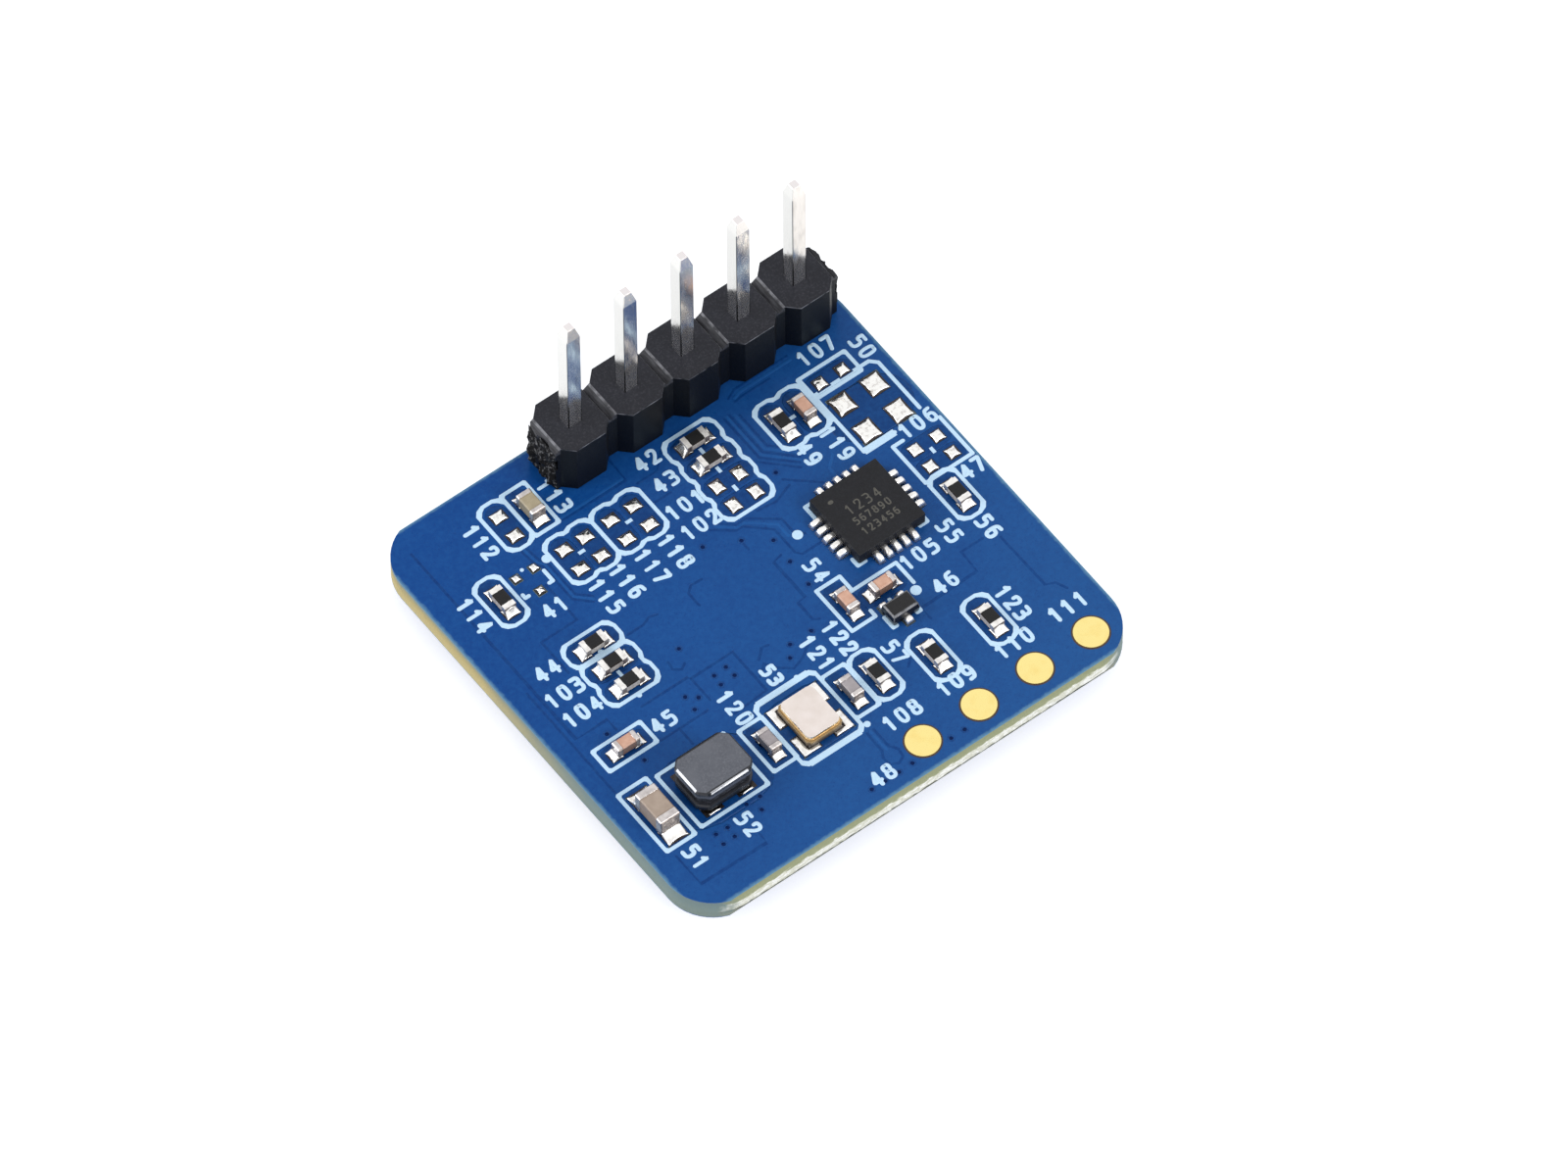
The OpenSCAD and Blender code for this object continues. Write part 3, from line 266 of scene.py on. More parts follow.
def laminate_look():
    """Glass-fibre laminate. The two scored edges are rough and whitish where they snapped. The
    milled ones are khaki under a grey-green top, and turn grey-green toward the near corner."""
    look = Look("laminate", (180, 176, 140), roughness=0.75, specular=0.3)
    height = look.wavy(look.spread(look.axis("Z"), BOARD_LOW, BOARD_TOP), 0.12, 0.05, 4, (0.35, 0.35, 2.2))
    far = look.bands(height, [
        (0.0, (204, 188, 138)), (0.45, (196, 178, 122)), (0.62, (184, 166, 114)),
        (0.8, (166, 156, 118)), (0.88, (128, 146, 148)), (1.0, (120, 140, 146)),
    ])
    near = look.bands(height, [
        (0.0, (118, 134, 132)), (0.4, (120, 138, 138)), (0.7, (112, 132, 136)), (1.0, (108, 128, 134)),
    ])
    milled = look.mix(look.spread(look.wavy(look.axis("Y"), 3, 1.5), -3.0, 3.5), near, far)
    # The dark band between the lower bevel and the pale web is painted shade along that crease
    snapped = look.bands(height, [
        (0.0, (150, 150, 134)), (0.26, (140, 140, 126)), (0.28, (44, 46, 52)), (0.325, (44, 46, 52)),
        (0.35, (222, 222, 208)), (0.7, (230, 230, 216)), (0.75, (156, 160, 126)), (1.0, (146, 150, 116)),
    ])
    fleck = look.clouds(0.17, 4, 0.47, 0.57, stretch=(0.45, 1, 1.3))
    snapped = look.mix(look.times(fleck, look.between(height, 0.35, 0.72)), snapped, (255, 255, 252))
    scored = look.above(look.off(look.axis("Y")), BOARD_HALF - 0.5)
    reach = look.wavy(look.off(look.axis("X")), 0.35, 0.25)
    straight = look.spread(reach, BOARD_HALF - 1.7, BOARD_HALF - 1.0, 1.0, 0.0)
    tone = look.mix(look.times(scored, straight), milled, snapped)
    tone = look.clouded(tone, (120, 128, 104), 0.07, 3, 0.3, 0.75, 0.4)
    skin = look.above(look.axis("Z"), BOARD_TOP - 0.03)
    look.paint(look.mix(skin, tone, (18, 24, 44)))
    look.bump(0.1, 4, 0.03, 0.6)
    return look


def moulding_look(name, colour, light, roughness, grain=0.09, specular=0.5):
    """Moulded black plastic or epoxy: fine grain, and slight lighter clouds."""
    look = Look(name, colour, roughness=roughness, specular=specular)
    speck = look.clouds(grain, 3, 0.42, 0.8, 0.0, 0.7)
    cloud = look.clouds(grain * 8, 2, 0.4, 0.8, 0.0, 0.3)
    look.paint(look.mix(look.larger(speck, cloud), colour, light))
    look.gloss(grain * 2, 2, roughness * 0.85, roughness * 1.15)
    look.bump(grain, 3, 0.01, 0.5)
    return look


def print_look(name, colour, wear_and_highlight):
    """Printed ink with a soft grain."""
    look = Look(name, colour, roughness=0.6, specular=0.3)
    look.paint(look.clouded(colour, wear_and_highlight, 0.1, 3, 0.35, 0.8, 0.6))
    look.bump(0.08, 2, 0.006, 0.4)
    return look


MASK = mask_look("blue_mask", (8, 69, 140), (33, 84, 146))
MASK_LOW = mask_look("blue_mask_low", (14, 70, 142), (22, 78, 148))
TRACK_GAP = mask_look("mask_over_gap", (2, 54, 118), (14, 64, 126))
CLEARING = mask_look("mask_over_clearing", (6, 56, 116), (14, 64, 122))
TRACK = mask_look("mask_over_track", (20, 82, 152), (38, 94, 160))
LAMINATE = laminate_look()
PRINT = print_look("white_print", (202, 232, 255), (186, 220, 252))
CHIP_PRINT = print_look("chip_marking", (92, 90, 84), (58, 58, 58))
TINNED = metal_look("tinned_copper", (246, 244, 240), (176, 174, 176), 0.24, metallic=0.85)
# Bare lands show a dark brownish grey round the joints
LAND = metal_look("dark_land", (74, 68, 66), (30, 28, 30), 0.4, ripple=0.1)
SOLDER = metal_look("solder", (252, 251, 248), (150, 140, 134), 0.14, ripple=0.14, relief=0.008)
JOINT = metal_look("solder_joint", (254, 252, 249), (176, 168, 160), 0.2, ripple=0.3, share=0.45,
                   relief=0.004, metallic=0.85)
GOLD = metal_look("gold_plate", (255, 234, 154), (250, 222, 136), 0.26, ripple=0.5, relief=0.003)
CHIP = moulding_look("chip_moulding", (13, 14, 19), (34, 36, 43), grain=0.06, roughness=0.6, specular=0.32)
RESIN = moulding_look("resin", (30, 32, 38), (84, 87, 96), grain=0.2, roughness=0.3)
FLUX = moulding_look("flux_line", (70, 48, 34), (30, 40, 64), grain=0.12, roughness=0.4)
COPPER = metal_look("copper_wire", (214, 140, 96), (150, 84, 52), 0.3)
SEAL = metal_look("seal_ring", (226, 196, 148), (176, 146, 100), 0.3, metallic=0.8)


# Pitches to move X by, so that each whole pitch has a pin or a groove in its middle
TO_PINS, TO_GROOVES = 8.5, 8


def header_offset(look, pitches):
    """How far a point is along X from the nearest pin, or from the nearest groove."""
    along = look.plus(look.axis("X"), HEADER_PITCH * pitches - HEADER_X)
    return look.off(look.math("MODULO", along, HEADER_PITCH), HEADER_PITCH / 2)


def pin_look():
    """Tin-plated pins under a dull film, with a fine dark line down each corner. Near the top,
    their faces toward -Y and -X carry a painted reflection: greyer, and warmer and less metallic on -Y."""
    drawn = (1.5, 1.5, 0.35)
    look = metal_look("pin_metal", (250, 250, 252), (214, 212, 214), 0.15, ripple=0.35,
                      streak=drawn, relief=0.0015, metallic=0.96)
    cloud = look.clouds(0.35, 4, 0.5, 0.9, stretch=drawn)
    tone = look.mix(cloud, (250, 250, 252), (206, 204, 206))
    upper = look.spread(look.axis("Z"), HOUSING_TOP + 0.8, HOUSING_TOP + 1.8)
    # Painted reflection: the upper faces toward -Y and -X get their own greyer tones
    front = look.below(look.facing("Y"), -0.5)
    side = look.below(look.facing("X"), -0.5)
    painted_front_reflection = look.times(front, upper)
    tone = look.mix(painted_front_reflection, tone, look.mix(cloud, (234, 228, 221), (200, 192, 184)))
    tone = look.mix(look.times(side, upper), tone, (222, 221, 217))
    look.link(look.spread(painted_front_reflection, 0.0, 1.0, 0.96, 0.9), "Metallic")
    offset = look.plus(header_offset(look, TO_PINS), look.off(look.axis("Y"), HEADER_Y))
    offset = look.plus(offset, look.spread(upper, 0.0, 1.0, 0.02, 0.0))
    tone = look.mix(look.spread(offset, 0.57, 0.595, 0.0, 0.95), tone, (24, 24, 28))
    pin_top = box_mm("header_pin_1")[1].z
    tip = look.spread(look.axis("Z"), pin_top - 0.012, pin_top - 0.004)
    look.paint(look.mix(tip, tone, (238, 233, 233)))
    return look


def housing_look():
    """Black header plastic, its level tops painted lighter than its sides as a painted sheen. The
    grooves between its segments carry a pale painted highlight, streaked along them, and the rims of its top
    a fine painted highlight line."""
    look = moulding_look("black_moulding", (8, 8, 10), (24, 24, 28), roughness=0.35, specular=0.22)
    neck = look.below(header_offset(look, TO_GROOVES), (HEADER_PITCH - SEGMENT_L) / 2)
    high = look.above(look.axis("Z"), HOUSING_TOP - 0.3)
    # Painted highlight on the grooves' walls, with streaks along them
    pale = look.clouded((72, 73, 78), (34, 34, 38), 0.09, 3, 0.35, 0.7, stretch=(1, 0.15, 1))
    speck = look.clouds(0.07, 3, 0.5, 0.8, 0.0, 0.8)
    # Painted sheen: level tops get lighter tones than the sides
    level = look.above(look.facing("Z"), 0.95)
    dark = look.mix(level, (4, 5, 7), (35, 36, 43))
    light = look.mix(level, (17, 17, 20), (62, 63, 70))
    tone = look.mix(look.times(neck, high), look.mix(speck, dark, light), pale)
    look.link(look.spread(level, 0.0, 1.0, 0.5, 0.42), "Roughness")
    # Painted highlight: a fine, patchy light line on the side faces just under the top's rims
    rim = look.above(look.axis("Z"), HOUSING_TOP - 0.055)
    patchy = look.times(rim, look.clouds(0.3, 4, 0.35, 0.6, 0.0, 0.8))
    wear_and_highlight = look.times(look.below(look.facing("Z"), 0.98), patchy)
    look.paint(look.mix(wear_and_highlight, tone, (136, 137, 143)))
    return look


def break_look():
    """Snapped black plastic: dark, with pale stress marks here and there."""
    look = Look("broken_moulding", (8, 8, 10), roughness=0.7, specular=0.12)
    mark = look.clouds(0.13, 4, 0.53, 0.64, 0.0, 0.9)
    shade = look.clouds(0.5, 2, 0.4, 0.6, 0.4, 1.0)
    look.paint(look.mix(look.times(mark, shade), (14, 14, 16), (114, 114, 116)))
    look.bump(0.1, 4, 0.05, 0.8)
    return look


def transistor_look():
    """The small transistor's glossy moulding, with a fine painted highlight line along its top's edges."""
    dark, light = (9, 9, 12), (27, 28, 33)
    look = moulding_look("transistor_moulding", dark, light, grain=0.06, roughness=0.26, specular=0.4)
    tone = look.clouded(dark, light, 0.06, 3, 0.42, 0.8, 0.7)
    # Painted highlight: a light line on the rounded edges of the top
    rounding = look.between(look.facing("Z"), 0.2, 0.98)
    wear_and_highlight = look.times(rounding, look.clouds(0.3, 3, 0.3, 0.6, 0.3, 1.0))
    look.paint(look.mix(wear_and_highlight, tone, (112, 114, 120)))
    return look


FLANGE_EDGE = 0.09
FLANGE_CORNER = 0.42


def ferrite_look():
    """Ground ferrite: mottled dark grey on top, with a painted highlight line along the top's edges
    toward the camera. Below it, the sides carry painted shade and light in bands, darker toward the board."""
    look = Look("ferrite", (84, 88, 98), roughness=0.4, specular=0.4)
    low, high = box_mm("inductor_core")
    middle = (low + high) / 2
    speck = look.clouds(0.07, 3, 0.42, 0.8, 0.0, 0.7)
    cloud = look.clouds(0.6, 3, 0.4, 0.75, 0.0, 0.4)
    top = look.mix(look.larger(speck, cloud), (84, 87, 96), (116, 119, 127))
    # Painted shade and light on the sides: nearly black at the foot, a lighter band high on the flange's
    # side, darker again just under the top
    sides = look.bands(look.spread(look.wavy(look.axis("Z"), 0.25, 0.06), low.z, high.z), [
        (0.0, (8, 9, 13)), (0.12, (16, 18, 24)), (0.3, (44, 46, 53)), (0.56, (34, 36, 43)),
        (0.68, (88, 91, 100)), (0.79, (80, 83, 92)), (0.86, (46, 48, 55)), (0.96, (36, 38, 44)),
    ])
    ground = high.z - 0.004
    tone = look.mix(look.above(look.axis("Z"), ground), sides, top)
    # Painted highlight along the top's -X and -Y edges, short of the corners
    edges = []
    for across, along in ((0, 1), (1, 0)):
        out = look.minus(middle[across], look.axis("XY"[across]))
        run = look.off(look.axis("XY"[along]), middle[along])
        edges.append(look.times(look.above(out, high[across] - middle[across] - FLANGE_EDGE * 0.95),
                                look.below(run, high[along] - middle[along] - FLANGE_CORNER)))
    height = look.between(look.axis("Z"), high.z - FLANGE_EDGE * 0.92, ground)
    line = look.times(look.larger(*edges), height)
    bright = look.clouded((226, 228, 232), (176, 178, 184), 0.5, 3, 0.35, 0.7)
    look.paint(look.mix(line, tone, bright))
    look.link(look.times(line, 0.4), "Metallic")
    look.bump(0.07, 3, 0.006, 0.5)
    return look


def crystal_base_look():
    """The crystal's ceramic tray: warm brown under the lid, with painted shade that makes it nearly black at
    its foot.
    """
    look = Look("crystal_ceramic", (90, 76, 60), roughness=0.45, specular=0.4)
    low, high = box_mm("crystal_base")
    # Painted shade: the tray darkens toward its foot
    look.paint(look.bands(look.spread(look.wavy(look.axis("Z"), 0.1, 0.03), low.z, high.z), [
        (0.0, (52, 46, 42)), (0.35, (84, 74, 66)), (0.75, (128, 110, 84)), (1.0, (164, 138, 96)),
    ]))
    look.bump(0.1, 3, 0.008, 0.5)
    return look


def lid_look():
    """The crystal's lid: pale beige on top, and its turned-down sides are warm gold. Their rim
    carries a cream painted highlight toward the header and toward -X."""
    look = Look("lid_metal", (240, 231, 227), metallic=1.0, roughness=0.3)
    top = look.clouded((240, 230, 225), (226, 214, 206), 0.7, 4, 0.4, 0.75)
    side = look.clouded((252, 234, 196), (224, 194, 144), 0.3, 3, 0.35, 0.7)
    height = look.minus(look.axis("Z"), box_mm("crystal_lid")[1].z)
    # Painted highlight: a cream line high on the sides that face -X or the header
    lit = look.larger(look.spread(look.facing("X"), -0.5, -0.2, 1.0, 0.0),
                      look.spread(look.facing("Y"), 0.2, 0.5))
    cream = look.times(look.spread(height, -0.15, -0.12), lit)
    side = look.mix(look.spread(height, -0.12, -0.06), side, (255, 226, 168))
    rim = look.mix(cream, side, (255, 253, 243))
    look.paint(look.mix(look.spread(height, -0.012, -0.003), rim, top))
    look.bump(0.5, 3, 0.004)
    return look


def plated_ends(look, along, half, band, bright, dull, metallic):
    """Turns the ends of a chip part into plating, whose edge wavers a little. The sides that
    face away from the header get painted shade: darker, and less metallic."""
    end = look.above(look.wavy(along, 0.2, 0.012, 2.0), half - band)
    # Painted shade: faces toward -Y take the shaded, less metallic tones
    away = look.below(look.facing("Y"), -0.7)
    look.link(look.times(end, look.spread(away, 0, 1, metallic, 0.35)), "Metallic")
    look.link(look.spread(end, 0, 1, 0.42, 0.28), "Roughness")
    lit = look.clouded(bright, dull, 0.2, 3, 0.42, 0.78, 0.8, (1, 1, 0.6))
    shaded = look.clouded((150, 138, 130), (86, 76, 72), 0.15, 3, 0.4, 0.7, stretch=(1, 1, 0.5))
    return end, look.mix(away, lit, shaded)


def resistor_look(node):
    """Alumina chip with plated ends and a black glaze on top, a little brown at its rim."""
    look = Look(node, (12, 12, 14), roughness=0.38, specular=0.35)
    middle, size, turned = chip_span(node)
    offsets = [look.off(look.axis(axis), centre) for axis, centre in zip("XY", middle)]
    along, across = reversed(offsets) if turned else offsets
    end, plating = plated_ends(look, along, size.x / 2, CHIP_BAND, (252, 250, 247), (206, 200, 196), 0.85)
    top = look.above(look.axis("Z"), middle.z + size.z / 2 - 0.04)
    rim = look.spread(across, size.y / 2 - 0.07, size.y / 2 - 0.02)
    glaze = look.clouded(look.mix(rim, (6, 6, 8), (30, 24, 22)), (22, 22, 26), 0.12, 3, 0.45, 0.8, 0.5)
    body = look.clouded((200, 192, 184), (150, 144, 140), 0.08, 2, 0.3, 0.8)
    look.paint(look.mix(end, look.mix(top, body, glaze), plating))
    look.bump(0.1, 3, 0.008, 0.5)
    return look


def capacitor_look(node, colour, dark, band, side_share):
    """Ceramic block with plated caps, whose faces toward -X are greyer with painted shade. Its sides are
    painted with shade: they keep only a share of its top's colour.
    """
    look = Look(node, colour, roughness=0.42, specular=0.4)
    middle, size, turned = chip_span(node)
    half = size.x / 2
    along = look.off(look.axis("Y"), middle.y) if turned else look.off(look.axis("X"), middle.x)
    end, plating = plated_ends(look, along, half, band, (217, 211, 209), (168, 161, 161), 0.75)
    # Painted shade: the caps' faces toward -X are mixed toward grey
    toward_x = look.below(look.facing("X"), -0.7)
    plating = look.mix(look.spread(toward_x, 0, 1, 0.0, 0.4), plating, (92, 92, 98))
    cloud = look.clouds(0.3, 3, 0.35, 0.75, 0.0, 0.55)
    near_end = look.spread(along, half - band - 0.09, half - band, 0.0, 0.75)
    body = look.mix(look.larger(cloud, near_end), colour, dark)
    # Painted shade: the sides keep only a share of the top's colour
    side = look.below(look.facing("Z"), 0.5)
    shade = look.mix(cloud, *(tuple(c * side_share for c in tone) for tone in (colour, dark)))
    look.paint(look.mix(end, look.mix(side, body, shade), plating))
    look.bump(0.1, 3, 0.008, 0.5)
    return look


NODE_LOOKS = [
    (LAMINATE, ["board_laminate"]),
    (MASK, ["solder_mask_top"]),
    (MASK_LOW, ["solder_mask_underside"]),
    (PRINT, ["printed_frames"]),
    (LAND, ["part_lands"]),
    (GOLD, ["test_pads", "header_barrels", "aerial_copper"]),
    (SOLDER, ["empty_land_solder", "header_solder"]),
    (JOINT, ["mcu_solder", "radar_chip_solder", "large_part_solder", "chip_part_solder"]),
    (TINNED, ["mcu_leads", "radar_chip_leads", "inductor_terminals", "transistor_leads"]),
    (CHIP, ["mcu_body", "radar_chip_body"]),
    (housing_look(), ["header_housing"]),
    (pin_look(), PINS),
    (ferrite_look(), ["inductor_core"]),
    (COPPER, ["inductor_winding"]),
    (RESIN, ["inductor_resin"]),
    (crystal_base_look(), ["crystal_base"]),
    (SEAL, ["crystal_seal_ring"]),
    (lid_look(), ["crystal_lid"]),
    (transistor_look(), ["transistor_body"]),
]
NODE_LOOKS += [(resistor_look(node), [node]) for node in RESISTORS]

# Capacitors as (top, clouds in it, length of the caps, share of the colour kept on the sides as painted
# shade)
KHAKI = ((176, 164, 137), (146, 132, 108), CHIP_BAND, 0.82)
TAN = ((172, 155, 141), (142, 124, 110), 0.32, 0.84)
ORANGE = ((216, 174, 152), (176, 124, 100), CHIP_BAND, 0.64)
GREY = ((168, 162, 165), (132, 125, 128), CHIP_BAND, 0.64)
for node, kind in zip(CAPACITORS, [KHAKI, TAN] + 4 * [ORANGE] + 2 * [GREY]):
    NODE_LOOKS.append((capacitor_look(node, *kind), [node]))
for look, names in NODE_LOOKS:
    for name in names:
        slots = nodes[name].data.materials
        slots.clear()
        slots.append(look.material)


# ROUNDED EDGES ON THE CAD NODES

WELD_REACH = 0.0005
SHARP_ANGLE = 30


def round_edges(node, width, segments=3):
    """Rounds a node's sharp edges by a modifier, width in millimetres."""
    weld = nodes[node].modifiers.new("weld", "WELD")
    weld.merge_threshold = WELD_REACH * MM
    bevel = nodes[node].modifiers.new("bevel", "BEVEL")
    bevel.width = width * MM
    bevel.segments = segments
    bevel.limit_method = "ANGLE"
    bevel.angle_limit = math.radians(SHARP_ANGLE)
    bevel.use_clamp_overlap = True


EDGE_RADII = {
    "mcu_body": 0.03,
    "radar_chip_body": 0.04,
    "crystal_lid": 0.08,
    "crystal_base": 0.02,
    "transistor_body": 0.03,
}
EDGE_RADII.update({node: 0.02 for node in PINS + CAPACITORS})
for node, width in EDGE_RADII.items():
    round_edges(node, width)
round_edges("inductor_core", FLANGE_EDGE, segments=1)


# MESHES

def outline(down, across):
    """The places round the rim of a grid of points, in order."""
    return list(range(across)) \
        + [r * across + across - 1 for r in range(1, down)] \
        + [(down - 1) * across + i for i in range(across - 2, -1, -1)] \
        + [r * across for r in range(down - 2, 0, -1)]


def flipped(rows):
    """The same sheet of points, facing the other way."""
    return [row[::-1] for row in rows]


class Shape:
    """Collects the vertices and faces of one piece, in millimetres."""

    def __init__(self):
        self.verts = []
        self.faces = []

    def add(self, verts, faces):
        start = len(self.verts)
        self.verts += verts
        self.faces += [tuple(start + i for i in face) for face in faces]

    def rings(self, rings):
        """A closed skin over rings of equally many points, capped at both ends."""
        count = len(rings[0])
        faces = []
        for r in range(len(rings) - 1):
            for i in range(count):
                j = (i + 1) % count
                faces.append((r * count + i, r * count + j, (r + 1) * count + j, (r + 1) * count + i))
        faces.append(tuple(reversed(range(count))))
        faces.append(tuple((len(rings) - 1) * count + i for i in range(count)))
        self.add([v for ring in rings for v in ring], faces)

    def grid(self, rows):
        """A sheet over rows of points, closed below by its own outline."""
        down, across = len(rows), len(rows[0])
        faces = []
        for r in range(down - 1):
            for i in range(across - 1):
                a = r * across + i
                b, c, d = a + 1, a + across + 1, a + across
                corner_row, corner_end = r in (0, down - 2), i in (0, across - 2)
                if not (corner_row and corner_end):
                    faces.append((a, b, c, d))
                elif (r == 0) == (i == 0):
                    faces += [(a, b, c), (a, c, d)]
                else:
                    faces += [(a, b, d), (b, c, d)]
        faces.append(tuple(reversed(outline(down, across))))
        self.add([v for row in rows for v in row], faces)

    def block(self, rows, z):
        """A solid from rows of points straight down to height z."""
        down, across = len(rows), len(rows[0])
        top = [v for row in rows for v in row]
        low = [(px, py, z) for px, py, _ in top]
        count = len(top)
        faces = []
        for r in range(down - 1):
            for i in range(across - 1):
                a = r * across + i
                quad = (a, a + 1, a + across + 1, a + across)
                faces.append(quad)
                faces.append(tuple(count + corner for corner in reversed(quad)))
        rim = outline(down, across)
        for p, q in zip(rim, rim[1:] + rim[:1]):
            faces.append((q, p, count + p, count + q))
        self.add(top + low, faces)

    def piece(self, name, look, slot):
        """Makes the shape a new piece. It rides on the module's one body."""
        mesh = bpy.data.meshes.new(name)
        mesh.from_pydata([tuple(c * MM for c in v) for v in self.verts], [], self.faces)
        mesh.validate()
        mesh.polygons.foreach_set("use_smooth", [True] * len(mesh.polygons))
        mesh.materials.append(look.material)
        made = bpy.data.objects.new(name, mesh)
        bpy.context.scene.collection.objects.link(made)
        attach(made, "root")
        return made


def rounded(points, rounds=3):
    """Cuts the corners of a line of points again and again, and keeps its ends."""
    for _ in range(rounds):
        cut = [points[0]]
        for a, b in zip(points, points[1:]):
            cut.append((a[0] * 0.75 + b[0] * 0.25, a[1] * 0.75 + b[1] * 0.25))
            cut.append((a[0] * 0.25 + b[0] * 0.75, a[1] * 0.25 + b[1] * 0.75))
        cut.append(points[-1])
        points = [p for i, p in enumerate(cut) if i == 0 or math.dist(p, cut[i - 1]) > 1e-4]
    return points


# Cross-section of a printed stroke: (share of the half width, share of the thickness)
STROKE_SECTION = [(-1, 0), (-0.92, 0.62), (-0.6, 0.93), (0, 1), (0.6, 0.93), (0.92, 0.62), (1, 0)]
END_ANGLES = [math.radians(a) for a in (90, 60, 30)]
END_LEAST = 0.12
BEND_MOST = 1.5


def round_end(here, along, half, way):
    """Stations that round off one end of a stroke, the outermost first."""
    return [(here + along * way * half * math.sin(a), along, half * max(math.cos(a), END_LEAST))
            for a in END_ANGLES]


def stroke(shape, points, width, z, thickness):
    """A printed line of ink along points, with round ends, that stands on height z."""
    half = width / 2
    count = len(points)
    stations = []
    for i, point in enumerate(points):
        before = Vector(points[max(i - 1, 0)])
        after = Vector(points[min(i + 1, count - 1)])
        here = Vector(point)
        spread = 1.0
        if 0 < i < count - 1:
            turn = (here - before).normalized().dot((after - here).normalized())
            spread = min(1 / math.sqrt(max((1 + turn) / 2, 0.2)), BEND_MOST)
        stations.append((here, (after - before).normalized(), half * spread))
    (first, first_along, _), (last, last_along, _) = stations[0], stations[-1]
    stations = round_end(first, first_along, half, -1) + stations \
        + round_end(last, last_along, half, 1)[::-1]
    rings = []
    for here, along, reach in stations:
        side = Vector((-along.y, along.x))
        rings.append([
            (here.x + side.x * reach * u, here.y + side.y * reach * u, z + thickness * h)
            for u, h in STROKE_SECTION
        ])
    shape.rings(rings)


# Strokes of the numerals 0 to 9, in a box 0.6 wide and 1 high
NUMERALS = [
    [[(0.3, 1), (0.6, 1), (0.6, 0), (0, 0), (0, 1), (0.33, 1)]],
    [[(0.08, 0.78), (0.32, 1), (0.32, 1), (0.32, 0)]],
    [[(0.02, 0.72), (0.02, 1), (0.6, 1), (0.6, 0.58), (0, 0), (0, 0), (0.6, 0)]],
    [[(0.02, 1), (0.6, 1), (0.58, 0.54), (0.22, 0.54)], [(0.22, 0.54), (0.6, 0.54), (0.62, 0), (0, 0)]],
    [[(0.46, 0), (0.46, 1), (0.46, 1), (0, 0.3), (0, 0.3), (0.62, 0.3)]],
    [[(0.56, 1), (0.06, 1), (0.06, 1), (0.04, 0.56), (0.62, 0.66), (0.62, 0), (0, 0)]],
    [[(0.5, 1), (0, 0.95), (0, 0), (0.6, 0), (0.6, 0.6), (0.02, 0.6), (0.02, 0.3)]],
    [[(0, 1), (0.6, 1), (0.6, 1), (0.2, 0)]],
    [[(0.3, 1), (0.58, 1), (0.56, 0.53), (0.04, 0.53), (0.02, 1), (0.33, 1)],
     [(0.3, 0.53), (0.6, 0.53), (0.62, 0), (-0.02, 0), (0, 0.53), (0.33, 0.53)]],
    [[(0.1, 0), (0.6, 0.05), (0.6, 1), (0, 1), (0, 0.4), (0.58, 0.4), (0.58, 0.7)]],
]
NUMERAL_W = 0.6
NARROW = 0.83
NUMERAL_STEP = 1.02
# The strokes of one numeral cross: each later one starts lower and stands higher
STROKE_SINK = 0.001
STROKE_LIFT = 0.12
INK_THINNEST, INK_WIDEST = -0.08, 0.12


def number_row(shape, text, x, y, height, ink, z, thickness, upright=True, jitter=None):
    """Numerals in a row, centred on (x, y). They read along +X, or along -Y if not upright."""
    width = (len(text) - 1) * NUMERAL_STEP + NUMERAL_W * NARROW
    for place, char in enumerate(text):
        left = -width / 2 + place * NUMERAL_STEP
        for order, line in enumerate(NUMERALS[int(char)]):
            laid = []
            for px, py in rounded(line):
                u = (left + px * NARROW) * height
                v = (py - 0.5) * height
                laid.append((x + u, y + v) if upright else (x + v, y - u))
            reach = ink * (1 + (jitter.uniform(INK_THINNEST, INK_WIDEST) if jitter else 0))
            sunk = STROKE_SINK * order
            stroke(shape, laid, reach, z - sunk, thickness * (1 + STROKE_LIFT * order) + sunk)


# Plain numbers in counting order, as (text, x, y) in the usual height, or (text, x, y, height)
NUMBER_H = 0.56
UPRIGHT_NUMBERS = [
    ("41", -6.2, 3.85), ("42", 0.23, 6.88), ("43", 0.23, 5.74), ("101", 0.2, 4.52), ("102", 0.13, 3.5),
    ("44", -8.03, 1.85), ("103", -8.09, 0.72), ("104", -8.06, -0.32), ("45", -6.02, -2.42),
    ("105", 5.63, -2.31), ("46", 5.63, -3.84), ("47", 9.42, -0.52), ("106", 9.03, 2.23),
    ("107", 7.98, 6.95), ("108", 0.97, -7.4), ("109", 3.41, -7.4), ("110", 6.04, -7.4),
    ("111", 8.52, -7.34), ("48", -1.13, -9.0),
]
TURNED_NUMBERS = [
    ("112", -6.64, 7.7), ("113", -3.32, 7.7), ("114", -8.7, 5.31), ("115", -4.42, 3.1),
    ("116", -3.43, 3.17), ("117", -2.33, 3.12), ("118", -1.27, 3.12), ("49", 5.08, 3.55),
    ("119", 6.18, 3.3), ("50", 9.44, 6.08), ("51", -8.51, -7.68), ("52", -6.19, -7.7),
    ("120", -3.62, -3.5), ("53", -1.72, -3.2, 0.48), ("121", 0.155, -3.43), ("122", 1.19, -3.4),
    ("54", 2.27, -0.61), ("55", 7.11, -2.17), ("56", 8.36, -2.88), ("57", 2.41, -5.11),
    ("123", 7.06, -6.0),
]
INK_W = 0.155

ink_spread = random.Random(7)
numbers = Shape()
for places, upright in ((UPRIGHT_NUMBERS, True), (TURNED_NUMBERS, False)):
    for text, x, y, *own in places:
        height = own[0] if own else NUMBER_H
        number_row(numbers, text, x, y, height, INK_W, BOARD_TOP, NUMBER_T, upright, ink_spread)
numbers.piece("printed_numbers", PRINT, "white_print")

